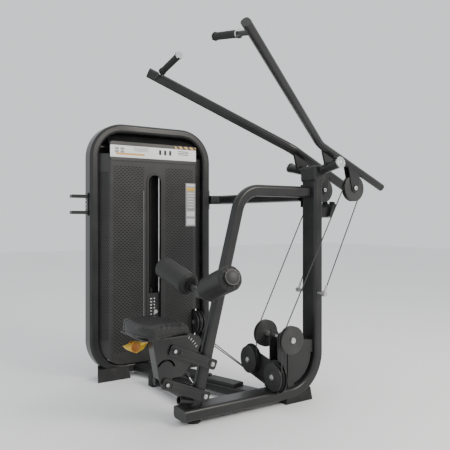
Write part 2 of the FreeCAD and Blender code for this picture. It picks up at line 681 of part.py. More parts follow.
def make_pulley_mount():
    half, thick, reach = GUSSET_HALF - 3.0, 6.0, 30.0
    cheeks = []
    for sign in (-1, 1):
        y0 = sign * half - thick / 2
        cheek = box(GUIDE_X - reach, GUIDE_X + reach, y0, y0 + thick, BASE_Z, GUIDE_Z)
        crown = rod((GUIDE_X, y0, GUIDE_Z), (GUIDE_X, y0 + thick, GUIDE_Z), reach)
        cheeks.append(cheek.fuse(crown))
    web = box(GUIDE_X + reach - thick, GUIDE_X + reach, -half, half, BASE_Z, GUIDE_Z - 10)
    bracket = cheeks[0].fuse(cheeks[1]).fuse(web)
    rim = PULLEY_R + 12
    a, b = Vector(PLATE_X, LOW_Y[-1], LOW_Z[-1]), Vector(PLATE_X, LOW_Y[1], LOW_Z[1])
    along = (b - a).normalize()
    across = Vector(1, 0, 0).cross(along)
    waist = rim * 0.72
    corners = [a + across * waist, b + across * waist, b - across * rim, a - across * rim]
    plate = slab([tuple(c) for c in corners], (1, 0, 0), SHEET)
    for centre in (a, b):
        plate = plate.fuse(rod(tuple(centre), tuple(centre + Vector(SHEET, 0, 0)), rim))
    foot = box(PLATE_X, PLATE_X + SHEET, -POST_SIDE, POST_SIDE, BASE_TOP, LOW_Z[-1])
    plate = plate.fuse(foot)
    above = box(PLATE_X - 5, PLATE_X + 20, -400, 400, BASE_TOP, 600)
    side = box(PLATE_X - 5, PLATE_X + 20, -400, -POST_SIDE, FLOOR_GAP + 20, BASE_TOP)
    side = side.fuse(box(PLATE_X - 5, PLATE_X + 20, POST_SIDE, 400, FLOOR_GAP + 20, BASE_TOP))
    plate = plate.common(above.fuse(side))
    tie = box(PLATE_X + SHEET, GUIDE_X - reach, -half - thick / 2, half + thick / 2,
              BASE_TOP, BASE_TOP + 40)
    body = bracket.fuse(plate).fuse(tie)
    bore = rod((GUIDE_X, -half - 20, GUIDE_Z), (GUIDE_X, half + 20, GUIDE_Z), AXLE_R)
    body = body.cut(bore)
    for centre in (a, b):
        body = body.cut(rod((PLATE_X - 5, centre.y, centre.z),
                            (PLATE_X + 20, centre.y, centre.z), AXLE_R))
    body = body.cut(sweep(MAIN_LINE, [BEND_R], (0, 1, 0), MAIN_W, MAIN_H, MAIN_R))
    for sign in (-1, 1):
        run = arm_cable(sign)[TOWER_RUN]
        ends = [run.valueAt(p) for p in (run.FirstParameter, run.LastParameter)]
        body = body.cut(rod(tuple(ends[0]), tuple(ends[1]), CABLE_R + CABLE_WAY))
    export("pulley_mount", max(body.Solids, key=lambda s: s.Volume).removeSplitter())
    reach_y = GUIDE_Y + PULLEY_W / 2 + TOUCH
    bolts = [axle_bolt((GUIDE_X, -reach_y, GUIDE_Z), (GUIDE_X, reach_y, GUIDE_Z))]
    collar_gap = GUIDE_Y - PULLEY_W / 2 - TOUCH
    for sign in (-1, 1):
        collar = rod((GUIDE_X, sign * (half + thick / 2), GUIDE_Z),
                     (GUIDE_X, sign * collar_gap, GUIDE_Z), 14.0)
        bolts[0] = bolts[0].fuse(collar)
    bolts[0] = bolts[0].removeSplitter()
    for centre in (a, b):
        front = GUIDE_LINE_X - PULLEY_W / 2 - TOUCH
        shank = rod((front, centre.y, centre.z), (PLATE_X + SHEET + 4, centre.y, centre.z), AXLE_R)
        head = rod((front - 5, centre.y, centre.z), (front, centre.y, centre.z), 15.0)
        spacer = ring((GUIDE_LINE_X + PULLEY_W / 2 + TOUCH, centre.y, centre.z),
                      (PLATE_X, centre.y, centre.z), 13.0, AXLE_R - 0.5)
        nut = rod((PLATE_X + SHEET, centre.y, centre.z),
                  (PLATE_X + SHEET + 8, centre.y, centre.z), 13.0)
        bolts.append(shank.fuse(head).fuse(spacer).fuse(nut).removeSplitter())
    lower = [TOWER_PULLEY_X - TOWER_PULLEY_SPREAD - PULLEY_W / 2 - TOUCH,
             TOWER_PULLEY_X + TOWER_PULLEY_SPREAD + PULLEY_W / 2 + TOUCH]
    bolts.append(axle_bolt((lower[0], TOWER_PULLEY_Y, TOWER_PULLEY_Z),
                           (lower[1] + 12, TOWER_PULLEY_Y, TOWER_PULLEY_Z)))
    for x in (TOWER_PULLEY_X - TOP_PULLEY_PITCH, TOWER_X + TOP_PULLEY_PITCH):
        bolts.append(axle_bolt((x, STACK_Y - TAB_OUT, TOP_PULLEY_Z),
                               (x, STACK_Y + TAB_OUT, TOP_PULLEY_Z)))
    export("pulley_axle_bolts", bolts)


# ---------------------------------------------------------------- weight tower
TOWER_LEFT = TOWER_X - TOWER_W / 2
LOOP_IN_X0 = TOWER_LEFT + TOWER_TUBE
LOOP_IN_X1 = TOWER_RIGHT - TOWER_TUBE
LOOP_IN_Z0 = FLOOR_GAP + TOWER_TUBE
LOOP_IN_Z1 = TOWER_TOP - TOWER_TUBE


def round_box(x0, x1, z0, z1, y0, y1, corner):
    """Block in the XZ plane with four upright rounded corners, pushed along Y."""
    body = box(x0, x1, y0, y1, z0, z1)
    edges = [e for e in body.Edges if abs(e.tangentAt(0).y) > 0.9]
    return body.makeFillet(corner, edges)


def loop_block(inset, corner_inset):
    y0, y1 = TOWER_Y - TOWER_DEPTH / 2 + inset, TOWER_Y + TOWER_DEPTH / 2 - inset
    outer = round_box(TOWER_LEFT + inset, TOWER_RIGHT - inset, FLOOR_GAP + inset,
                      TOWER_TOP - inset, y0, y1, TOWER_CORNER_R - inset)
    inner = round_box(LOOP_IN_X0 - inset, LOOP_IN_X1 + inset, LOOP_IN_Z0 - inset,
                      LOOP_IN_Z1 + inset, y0, y1, TOWER_CORNER_R - TOWER_TUBE + inset)
    block = outer.cut(inner)
    rims = [e for e in block.Edges if e.BoundBox.YLength < 0.01]
    return block.makeFillet(TOWER_R - corner_inset, rims)


def tower_loop_outer():
    return loop_block(0.0, 0.0)


def make_tower_loop():
    export("tower_loop", tower_loop_outer().cut(loop_block(WALL, WALL)))


def make_tower_plates():
    """Floor plate of the stack, rod plate, top pulley beam and the lower pulleys' arm."""
    loop = tower_loop_outer()
    x0, x1 = LOOP_IN_X0 - 2, LOOP_IN_X1 + 2
    y1 = TOWER_Y + TOWER_DEPTH / 2 - 10
    behind = SHROUD_Y + SHROUD_CHAMFER_Y + SHROUD_FLANGE + 2
    floor = box(x0, x1, behind, y1, LOOP_IN_Z0 + 30, LOOP_IN_Z0 + 38)
    rod_plate = box(x0, x1, behind, STACK_Y + 22, ROD_TOP, ROD_TOP + 8)
    for x in (TOWER_X, TOWER_PULLEY_X):
        rod_plate = rod_plate.cut(rod((x, STACK_Y, ROD_TOP - 5), (x, STACK_Y, ROD_TOP + 15),
                                      CABLE_R + CABLE_WAY / 2))
    beam_z = TOP_PULLEY_Z + TOP_PULLEY_R + 10
    beam = box(x0, x1, behind, STACK_Y + 26, beam_z, beam_z + 8)
    for x in (TOWER_PULLEY_X - TOP_PULLEY_PITCH, TOWER_X + TOP_PULLEY_PITCH):
        for side in (-1, 1):
            ys = sorted((STACK_Y + side * TAB_IN, STACK_Y + side * TAB_OUT))
            tab = box(x - 20, x + 20, ys[0], ys[1], TOP_PULLEY_Z - 20, beam_z + 8)
            beam = beam.fuse(tab.cut(rod((x, STACK_Y - 30, TOP_PULLEY_Z),
                                         (x, STACK_Y + 30, TOP_PULLEY_Z), AXLE_R)))
    arm_x = TOWER_PULLEY_X + TOWER_PULLEY_SPREAD + PULLEY_W / 2 + TOUCH + 6
    arm = box(arm_x, x1, behind, behind + 28, TOWER_PULLEY_Z - 16,
              TOWER_PULLEY_Z + 16)
    ear = box(arm_x - 6, arm_x + 6, TOWER_PULLEY_Y - 16, behind + 28,
              TOWER_PULLEY_Z - 16, TOWER_PULLEY_Z + 16)
    arm = arm.fuse(ear)
    pin = rod((arm_x - 20, TOWER_PULLEY_Y, TOWER_PULLEY_Z),
              (arm_x + 20, TOWER_PULLEY_Y, TOWER_PULLEY_Z), AXLE_R)
    pieces = [floor, rod_plate, beam.removeSplitter(), arm.cut(pin).removeSplitter()]
    kept = [max(p.cut(loop).Solids, key=lambda s: s.Volume) for p in pieces]
    export("tower_inner_plates", kept)


SHROUD_Y = TOWER_Y - TOWER_DEPTH / 2 - SHROUD_PROUD      # front face of the front shroud


def clips(x0, x1, y0, y1, levels):
    """Small tabs from a shroud's edges to the loop."""
    tabs = []
    for z in levels:
        tabs.append(box(LOOP_IN_X0, x0 + SHROUD_T, y0, y1, z - 15, z + 15))
        tabs.append(box(x1 - SHROUD_T, LOOP_IN_X1, y0, y1, z - 15, z + 15))
    return tabs


def make_shrouds():
    x0, x1 = LOOP_IN_X0 + SHROUD_GAP, LOOP_IN_X1 - SHROUD_GAP
    y_front, y_back = SHROUD_Y, SHROUD_Y + SHROUD_CHAMFER_Y
    z0, z1 = LOOP_IN_Z0 + SHROUD_GAP, SHROUD_TOP
    flange = SHROUD_FLANGE
    outline = [(x0, y_back + flange), (x0, y_back), (x0 + SHROUD_CHAMFER_X, y_front),
               (x1 - SHROUD_CHAMFER_X, y_front), (x1, y_back), (x1, y_back + flange)]
    t = SHROUD_T
    inner = [(x1 - t, y_back + flange), (x1 - t, y_back + t * 0.6),
             (x1 - SHROUD_CHAMFER_X - t * 0.3, y_front + t),
             (x0 + SHROUD_CHAMFER_X + t * 0.3, y_front + t), (x0 + t, y_back + t * 0.6),
             (x0 + t, y_back + flange)]
    front = slab([(x, y, z0) for x, y in outline + inner], (0, 0, 1), z1 - z0)
    keep = round_box(x0 - 1, x1 + 1, z0 - 1, z1 + 200, y_front - 5, y_back + 30,
                     TOWER_CORNER_R - TOWER_TUBE - SHROUD_GAP)
    front = front.common(keep)
    for a, b in ((x0 - 5, x0 + SHROUD_CHAMFER_X - 6), (x1 - SHROUD_CHAMFER_X + 6, x1 + 5)):
        front = front.cut(box(a, b, y_front - 5, y_back + 30, SHROUD_SIDE_TOP, z1 + 5))
    window = round_box(TOWER_X - SLOT_W / 2, TOWER_X + SLOT_W / 2, SLOT_BOTTOM, SLOT_TOP,
                       y_front - 5, y_front + 10, SLOT_W / 2 - 0.5)
    front = front.cut(window)
    spread = TOWER_PULLEY_SPREAD + PULLEY_W / 2 + 10
    cutout = box(TOWER_PULLEY_X - spread, TOWER_PULLEY_X + spread + 8, y_front - 60, y_back + 2,
                 TOWER_PULLEY_Z - PULLEY_R - 12, TOWER_PULLEY_Z + PULLEY_R + 12)
    front = max(front.cut(cutout).Solids, key=lambda s: s.Volume)
    for tab in clips(x0, x1, y_back, y_back + flange, (260.0, 700.0, 1140.0, 1300.0)):
        front = front.fuse(tab)
    export("front_shroud", front.removeSplitter())
    y1 = TOWER_Y + TOWER_DEPTH / 2 - 6
    rear = round_box(x0, x1, z0, LOOP_IN_Z1 - SHROUD_GAP, y1, y1 + SHROUD_T,
                     TOWER_CORNER_R - TOWER_TUBE - SHROUD_GAP)
    for tab in clips(x0, x1, y1 - 10, y1 + SHROUD_T, (300.0, 800.0, 1250.0)):
        rear = rear.fuse(tab)
    export("rear_shroud", rear.removeSplitter())


PLACARD_Z0, PLACARD_Z1 = 1322.0, 1436.0


def make_placard_and_tray():
    x0 = LOOP_IN_X0 + SHROUD_GAP + SHROUD_CHAMFER_X - 4
    x1 = LOOP_IN_X1 - SHROUD_GAP - SHROUD_CHAMFER_X + 4
    panel = round_box(x0, x1, PLACARD_Z0, PLACARD_Z1, SHROUD_Y - 5, SHROUD_Y, 12.0)
    export("placard", panel)
    depth = 66.0
    low, high = SHROUD_TOP, LOOP_IN_Z1 + 2
    tray = slab([(x0, SHROUD_Y + 10, low), (x0, SHROUD_Y + 10 + depth, high),
                 (x0, SHROUD_Y + 14 + depth, high), (x0, SHROUD_Y + 14, low)], (1, 0, 0), x1 - x0)
    lip = box(x0 + 6, x1 - 6, SHROUD_Y + SHROUD_T, SHROUD_Y + 14, low - 6, low)
    tray = tray.fuse(lip).cut(tower_loop_outer())
    export("top_tray", max(tray.Solids, key=lambda s: s.Volume).removeSplitter())


def make_guides_and_stack():
    top = ROD_TOP
    floor = LOOP_IN_Z0 + 38
    xs = (TOWER_X - GUIDE_SPACING / 2, TOWER_X + GUIDE_SPACING / 2)
    export("guide_rods", [rod((x, STACK_Y, floor), (x, STACK_Y, top), GUIDE_R) for x in xs])
    buffers = [ring((x, STACK_Y, floor), (x, STACK_Y, STACK_BOTTOM), 24.0, GUIDE_R + 0.3)
               for x in xs]
    export("stack_buffers", buffers)
    pitch = PLATE_T + PLATE_GAP
    y0, y1 = STACK_Y - PLATE_D / 2, STACK_Y + PLATE_D / 2
    bores = [rod((x, STACK_Y, 0), (x, STACK_Y, 1500), GUIDE_R + 1.0) for x in xs]
    stem_hole = rod((TOWER_X, STACK_Y, 0), (TOWER_X, STACK_Y, 1500), STEM_R + 1.5)
    plates = []
    for i in range(PLATE_COUNT):
        z = STACK_BOTTOM + i * pitch
        plate = box(TOWER_X - PLATE_W / 2, TOWER_X + PLATE_W / 2, y0, y1, z, z + PLATE_T)
        uprights = [e for e in plate.Edges if abs(e.tangentAt(0).z) > 0.9]
        plate = plate.makeFillet(8.0, uprights)
        mid = z + PLATE_T / 2
        for cutter in bores + [stem_hole]:
            plate = plate.cut(cutter)
        plates.append(plate.cut(rod((TOWER_X, y0 - 1, mid), (TOWER_X, STACK_Y + 26, mid), PIN_R + 0.5)))
    cut = PLATE_COUNT - LIFTED_COUNT
    export("resting_plates", plates[:cut])
    export("lifted_plates", plates[cut:])
    z = STACK_BOTTOM + PLATE_COUNT * pitch
    head = box(TOWER_X - PLATE_W / 2, TOWER_X + PLATE_W / 2, y0, y1, z, z + HEAD_T)
    head = head.makeFillet(8.0, [e for e in head.Edges if abs(e.tangentAt(0).z) > 0.9])
    for cutter in bores:
        head = head.cut(cutter)
    stem = rod((TOWER_X, STACK_Y, STACK_BOTTOM + 6), (TOWER_X, STACK_Y, z + HEAD_T + 30), STEM_R)
    pin_z = STACK_BOTTOM + cut * pitch + PLATE_T / 2
    stem = stem.cut(rod((TOWER_X, STACK_Y - 40, pin_z), (TOWER_X, STACK_Y + 40, pin_z),
                        PIN_R + RUNNING))
    export("head_plate", head.fuse(stem).removeSplitter())
    shank = rod((TOWER_X, y0 - 12, pin_z), (TOWER_X, STACK_Y + 18, pin_z), PIN_R)
    knob = rod((TOWER_X, y0 - 34, pin_z), (TOWER_X, y0 - 12, pin_z), 13.0)
    export("selector_pin", shank.fuse(knob).removeSplitter())


HEAD_T = 24.0
HEAD_TOP = STACK_BOTTOM + PLATE_COUNT * (PLATE_T + PLATE_GAP) + HEAD_T


def make_yoke():
    half = TOWER_PULLEY_SPREAD + 14
    y = STACK_Y
    body = box(TOWER_PULLEY_X - half, TOWER_PULLEY_X + half, y - 9, y + 9,
               YOKE_Z - YOKE_HALF, YOKE_Z + YOKE_HALF)
    export("cable_yoke", body.makeFillet(4.0, body.Edges))


def make_hooks():
    x1 = TOWER_LEFT
    plate = box(x1 - 6, x1, TOWER_Y - 22, TOWER_Y + 22, 985, 1122)
    prongs = []
    for z in (1100.0, 1004.0):
        prong = box(x1 - 102, x1 - 6, TOWER_Y - 20, TOWER_Y + 20, z - 10, z + 10)
        tips = [e for e in prong.Edges if abs(e.tangentAt(0).y) > 0.9 and e.BoundBox.XMax < x1 - 90]
        prongs.append(prong.makeFillet(4.0, tips))
    export("accessory_hooks", plate.fuse(prongs[0]).fuse(prongs[1]).removeSplitter())


# ---------------------------------------------------------------- press arms
def arm_roll_axis():
    """Wide direction of the arm tube at the handle end."""
    along = (vec(ARM_END) - vec(ARM_KNEE)).normalize()
    along = Vector(along.x, -along.y, along.z)
    up = Vector(0, 0, 1)
    up = (up - along * up.dot(along)).normalize()
    side = along.cross(up)
    roll = math.radians(ARM_ROLL)
    return up * math.cos(roll) + side * math.sin(roll)


def right(point):
    return (point[0], -point[1], point[2])


def make_arms():
    end, knee, tail = right(ARM_END), right(ARM_KNEE), right(ARM_TAIL)
    wide = arm_roll_axis()
    points = [end, knee, tail]
    radius = ARM_H / 2 - 0.5
    arm_tube = tube(points, [ARM_BEND_R], tuple(wide), ARM_W, ARM_H, radius)
    solid_arm = sweep(points, [ARM_BEND_R], tuple(wide), ARM_W, ARM_H, radius)
    root, tip = pivot_point(PIVOT_ROOT_Y), pivot_point(PIVOT_END_Y)
    sleeve = ring(root, tip, SLEEVE_R, SHAFT_R + RUNNING)
    bore = rod(pivot_point(PIVOT_ROOT_Y - 10), pivot_point(PIVOT_END_Y + 10), SHAFT_R + RUNNING)
    wing_y = ARM_PULLEY_Y - 6
    base = pivot_point(wing_y)
    wing = slab([(PIVOT_X - 52, -wing_y - 6, base[2] + 96), (PIVOT_X - 24, -wing_y - 6, base[2] - 6),
                 (PIVOT_X + 24, -wing_y - 6, base[2] - 6),
                 (PIVOT_X + 60, -wing_y - 6, base[2] + 54)], (0, 1, 0), 14.0)
    wing = wing.cut(bore).cut(solid_arm)
    wing = max(wing.Solids, key=lambda s: s.Volume)
    cheek_z = ARM_PULLEY_Z
    cheeks = []
    gap = PULLEY_W / 2 + 1.5
    for side in (-1, 1):
        y = -ARM_PULLEY_Y + side * gap
        y0, y1 = min(y, y + side * 5), max(y, y + side * 5)
        cheek = slab([(ARM_PULLEY_X - 24, y0, cheek_z), (ARM_PULLEY_X + 24, y0, cheek_z),
                      (ARM_PULLEY_X + 44, y0, cheek_z + 118), (ARM_PULLEY_X - 52, y0, cheek_z + 118)],
                     (0, 1, 0), y1 - y0)
        crown = rod((ARM_PULLEY_X, y0, cheek_z), (ARM_PULLEY_X, y1, cheek_z), 24.0)
        cheek = cheek.fuse(crown).cut(solid_arm)
        cheek = min(cheek.Solids, key=lambda s: s.CenterOfMass.z)
        cheeks.append(cheek)
    body = arm_tube.fuse(sleeve).fuse(wing)
    for cheek in cheeks:
        body = body.fuse(cheek)
    y_in, y_out = -ARM_PULLEY_Y + gap + 5, -ARM_PULLEY_Y - gap - 5
    shaft = rod((ARM_PULLEY_X, y_out - 5, cheek_z), (ARM_PULLEY_X, y_in + 5, cheek_z), AXLE_R)
    head = rod((ARM_PULLEY_X, y_out - 5, cheek_z), (ARM_PULLEY_X, y_out, cheek_z), 14.0)
    nut = rod((ARM_PULLEY_X, y_in, cheek_z), (ARM_PULLEY_X, y_in + 6, cheek_z), 13.0)
    body = body.fuse(shaft).fuse(head).fuse(nut)
    hand = Vector(HANDLE_X, -HANDLE_Y, HANDLE_Z)
    inward = Vector(0, math.cos(math.radians(PIVOT_TILT)), math.sin(math.radians(PIVOT_TILT)))
    stub = rod(tuple(hand - inward * 90), tuple(hand + inward * (HANDLE_LENGTH + 2)), 12.0)
    body = body.fuse(stub).removeSplitter()
    body = max(body.Solids, key=lambda s: s.Volume)
    along = (vec(knee) - vec(end)).normalize()
    back = (vec(knee) - vec(tail)).normalize()
    tail_wide = FreeCAD.Rotation(-along, back).multVec(-wide)
    caps = [plug(end, tuple(along), tuple(wide), ARM_W, ARM_H, radius, 3.0, 20.0),
            plug(tail, tuple(back), tuple(tail_wide), ARM_W, ARM_H, radius, 3.0, 20.0)]
    grip = ring(tuple(hand + inward * 6), tuple(hand + inward * (HANDLE_LENGTH - 6)), GRIP_R, 12.0)
    collar_a = ring(tuple(hand - inward * 2), tuple(hand + inward * 6), COLLAR_R, 12.0)
    tip_end = hand + inward * HANDLE_LENGTH
    collar_b = rod(tuple(tip_end - inward * 6), tuple(tip_end + inward * 5), COLLAR_R - 2)
    collar_b = collar_b.cut(stub)
    collars = [collar_a, max(collar_b.Solids, key=lambda s: s.Volume)]
    wheel = pulley((ARM_PULLEY_X, -ARM_PULLEY_Y, ARM_PULLEY_Z), (0, 1, 0))
    named = (("arm_frame", [body]), ("arm_end_plugs", caps), ("handle_grip", [grip]),
             ("handle_collars", collars), ("arm_pulley", [wheel]))
    for name, shapes in named:
        export("right_" + name, shapes)
        export("left_" + name, [mirror_y(s) for s in shapes])


# ---------------------------------------------------------------- seat
LINK_Y = 30.0
SEAT_PIN_UPPER = (LINK_UPPER[0] - LINK_LENGTH_X, LINK_UPPER[1] + LINK_RISE)
SEAT_PIN_LOWER = (LINK_LOWER[0] - LINK_LENGTH_X, LINK_LOWER[1] + LINK_RISE)
CHEEK_T = 5.0
CARRIAGE_Y = LINK_Y - TOUCH


def link(pin_a, pin_b):
    """Channel of two side bars and a web, turning on a pin at each end."""
    a = Vector(pin_a[0], 0, pin_a[1])
    b = Vector(pin_b[0], 0, pin_b[1])
    along = (b - a).normalize()
    up = Vector(0, 1, 0).cross(along)
    up = up if up.z > 0 else -up
    half, over = LINK_H / 2, 24.0
    sides = []
    for sign in (-1, 1):
        y = LINK_Y if sign > 0 else -LINK_Y - LINK_T
        corners = [a - along * over - up * half, b + along * over - up * half,
                   b + along * over + up * half, a - along * over + up * half]
        side = slab([(c.x, y, c.z) for c in corners], (0, 1, 0), LINK_T)
        edges = [e for e in side.Edges if abs(e.tangentAt(0).y) > 0.9]
        side = side.makeFillet(12.0, edges)
        for pin in (pin_a, pin_b):
            side = side.cut(rod((pin[0], y - 5, pin[1]), (pin[0], y + LINK_T + 5, pin[1]),
                                LINK_PIN_R + RUNNING))
        sides.append(side)
    return sides, a, b, along, up


def make_links():
    for name, pin_a, pin_b in (("upper_link", SEAT_PIN_UPPER, LINK_UPPER),
                               ("lower_link", SEAT_PIN_LOWER, LINK_LOWER)):
        sides, a, b, along, up = link(pin_a, pin_b)
        mid = (a + b) * 0.5
        tie_a = mid - along * 16
        tie_b = mid + along * 16
        corners = [tie_a + up * 8, tie_b + up * 8, tie_b + up * 14, tie_a + up * 14]
        web = slab([(c.x, -LINK_Y, c.z) for c in corners], (0, 1, 0), 2 * LINK_Y)
        body = sides[0].fuse(sides[1])
        if name == "lower_link":
            body = body.fuse(web)
            export(name, body.removeSplitter())
        else:
            export(name, sides)


def seat_outline(rear, corner_x, wide, front, narrow, z, fillet):
    """Closed outline of the pad with a bowed rear edge and rounded corners."""
    arc = Part.Arc(Vector(corner_x, -wide, z), Vector(rear, 0, z), Vector(corner_x, wide, z))
    edges = [Part.LineSegment(Vector(front, -narrow, z), Vector(corner_x, -wide, z)).toShape(),
             arc.toShape(),
             Part.LineSegment(Vector(corner_x, wide, z), Vector(front, narrow, z)).toShape(),
             Part.LineSegment(Vector(front, narrow, z), Vector(front, -narrow, z)).toShape()]
    block = Part.Face(Part.Wire(edges)).extrude(Vector(0, 0, SEAT_T))
    uprights = [e for e in block.Edges if isinstance(e.Curve, Part.Line)
                and abs(e.tangentAt(0).z) > 0.9]
    return block.makeFillet(fillet, uprights)


SEAT_FRONT_X = -62.0


def make_seat():
    z0 = SEAT_TOP - SEAT_T
    pad = seat_outline(-342.0, -302.0, 170.0, SEAT_FRONT_X, 124.0, z0, 34.0)
    over = 40.0
    slope = slab([(-210, -250, SEAT_TOP), (SEAT_FRONT_X + over, -250, SEAT_TOP - SEAT_DROP - 7),
                  (SEAT_FRONT_X + over, -250, SEAT_TOP + 20), (-210, -250, SEAT_TOP + 20)],
                 (0, 1, 0), 500)
    pad = pad.cut(slope)
    rear = slab([(-400, -250, z0 + 20), (-345, -250, z0 + 20), (-326, -250, SEAT_TOP + 5),
                 (-400, -250, SEAT_TOP + 5)], (0, 1, 0), 500)
    export("seat_pad", pad.cut(rear))
    plate_t = 6.0
    low = SEAT_PIN_LOWER[1]
    plate = box(-252, -72, -70, 70, z0 - plate_t, z0)
    outline = [(-232, z0 - plate_t), (-196, low + 24), (-178, low - 20), (-143, low - 20),
               (-128, low + 24), (-76, low + 24), (-32, 288), (12, 356), (26, 390), (16, 410),
               (-58, z0 - plate_t)]
    cheek = slab([(x, -CARRIAGE_Y, z) for x, z in outline], (0, 1, 0), CHEEK_T)
    slot_mid = Vector(-160.0, -CARRIAGE_Y, 278.0)
    slot = ring((slot_mid.x, -CARRIAGE_Y - 1, slot_mid.z),
                (slot_mid.x, -CARRIAGE_Y + CHEEK_T + 1, slot_mid.z), 48.0, 38.0)
    slot = slot.common(slab([(slot_mid.x - 60, -CARRIAGE_Y - 2, slot_mid.z + 20),
                             (slot_mid.x + 60, -CARRIAGE_Y - 2, slot_mid.z + 8),
                             (slot_mid.x + 60, -CARRIAGE_Y - 2, slot_mid.z + 80),
                             (slot_mid.x - 60, -CARRIAGE_Y - 2, slot_mid.z + 80)], (0, 1, 0), 20))
    cheek = cheek.cut(slot)
    body = plate.fuse(cheek).fuse(mirror_y(cheek))
    flange = slab([(-232, -CARRIAGE_Y, z0 - plate_t), (-196, -CARRIAGE_Y, low + 24),
                   (-191, -CARRIAGE_Y, low + 24), (-227, -CARRIAGE_Y, z0 - plate_t)],
                  (0, 1, 0), 2 * CARRIAGE_Y)
    body = body.fuse(flange)
    reach = LINK_Y + LINK_T + TOUCH
    for x, z in (SEAT_PIN_UPPER, SEAT_PIN_LOWER):
        body = body.fuse(rod((x, -reach, z), (x, reach, z), LINK_PIN_R))
        for sign in (-1, 1):
            y = sign * reach
            body = body.fuse(rod((x, y, z), (x, y + sign * 5, z), 11.0))
    px, py, pz = LEVER_PIVOT
    body = body.fuse(rod((px, CARRIAGE_Y - CHEEK_T, pz), (px, py + 12, pz), LEVER_PIN_R))
    body = body.fuse(rod((px, py + 12, pz), (px, py + 16, pz), 10.0))
    export("seat_carriage", body.removeSplitter())


GAS_FOOT = (20.0, 150.0)
GAS_HEAD = (-112.0, 342.0)
GAS_ROD_R = 5.0
GAS_BARREL_R = 11.0
GAS_PLAY = 3.5              # the rod leans in the barrel by up to this much


def make_gas_spring():
    foot, head = Vector(GAS_FOOT[0], 0, GAS_FOOT[1]), Vector(GAS_HEAD[0], 0, GAS_HEAD[1])
    along = (head - foot).normalize()
    mouth, crown, end = foot + along * 84, head - along * 26, head - along * 18
    barrel = ring(tuple(mouth), tuple(crown), GAS_BARREL_R, GAS_ROD_R + GAS_PLAY)
    cap = rod(tuple(crown), tuple(end), GAS_BARREL_R)
    export("gas_spring_barrel", barrel.fuse(cap).removeSplitter())
    export("gas_spring_rod", rod(tuple(foot + along * 46), tuple(mouth + along * 44), GAS_ROD_R))


LEVER_PIVOT = (-186.0, 44.0, 418.0)
LEVER_PIN_R = 6.0


def make_adjust_lever():
    """Paddle under the left side of the seat that frees the height lock."""
    px, py, pz = LEVER_PIVOT
    hub = rod((px, py - 8, pz), (px, py + 10, pz), 14.0)
    stem = rod((px - 14, py, pz - 11), (px - 52, py + 46, pz - 38), 7.0)
    paddle = slab([(px - 124, py + 38, pz - 42), (px - 60, py + 38, pz - 26),
                   (px - 14, py + 38, pz - 32), (px - 36, py + 38, pz - 60),
                   (px - 72, py + 38, pz - 74), (px - 108, py + 38, pz - 58)], (0, 1, 0), 38.0)
    body = hub.fuse(stem).fuse(paddle)
    bore = rod((px, py - 20, pz), (px, py + 30, pz), LEVER_PIN_R + RUNNING)
    body = body.cut(bore).removeSplitter()
    export("adjust_lever", max(body.Solids, key=lambda s: s.Volume))


# ---------------------------------------------------------------- thigh rollers
def make_rollers():
    inner, outer = vec(right(ROLLER_IN)), vec(right(ROLLER_OUT))
    along = (outer - inner).normalize()
    pad = ring(tuple(inner), tuple(outer), ROLLER_R, ROLLER_SHAFT_R + TOUCH)
    export("right_thigh_roller", pad)
    export("left_thigh_roller", mirror_y(pad))
    start = inner - along * (inner.y / along.y)
    hub = Vector(start.x, 0, start.z)
    stop = 3.0
    shaft = rod(tuple(hub), tuple(outer + along * stop), ROLLER_SHAFT_R)
    cap = rod(tuple(outer + along * stop), tuple(outer + along * (stop + 10)), 34.0)
    collar = rod(tuple(inner - along * (stop + 8)), tuple(inner - along * stop), 26.0)
    piece = shaft.fuse(cap).fuse(collar)
    z = hub.z
    bracket = slab([(hub.x - 18, -17, z - 20), (column_x(z - 40) - 8, -17, z - 60),
                    (column_x(z + 30) - 8, -17, z + 34), (hub.x - 18, -17, z + 20)],
                   (0, 1, 0), 34.0)
    solid_column = sweep([(column_x(200), 0, 200), (column_x(900), 0, 900)], [], (0, 1, 0),
                         COLUMN_W, COLUMN_H, COLUMN_R)
    bracket = bracket.cut(solid_column)
    bracket = min(bracket.Solids, key=lambda s: s.CenterOfMass.x)
    body = piece.fuse(mirror_y(piece)).fuse(bracket).removeSplitter()
    export("roller_axle", body)


make_main_frame()
make_end_plugs()
make_front_foot()
make_wedge_feet()
make_seat_column()
make_stabiliser()
make_lower_crossbeam()
make_upper_crossbeam()
make_frame_bolts()
make_post_top()
make_pivot_shafts()
make_gusset()
make_arm_stop()
make_cable_anchors()
make_cables()
make_pulleys()
make_pulley_mount()
make_tower_loop()
make_tower_plates()
make_shrouds()
make_placard_and_tray()
make_guides_and_stack()
make_yoke()
make_hooks()
make_arms()
make_links()
make_seat()
make_gas_spring()
make_adjust_lever()
make_rollers()
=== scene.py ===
"""Looks of the diverging lat pulldown machine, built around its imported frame.

All sizes are metres in the row's frame: +X from the seat to the post, +Y to the tower, +Z up.
"""
import json
import math

import bmesh
import bpy
from mathutils import Matrix, Vector


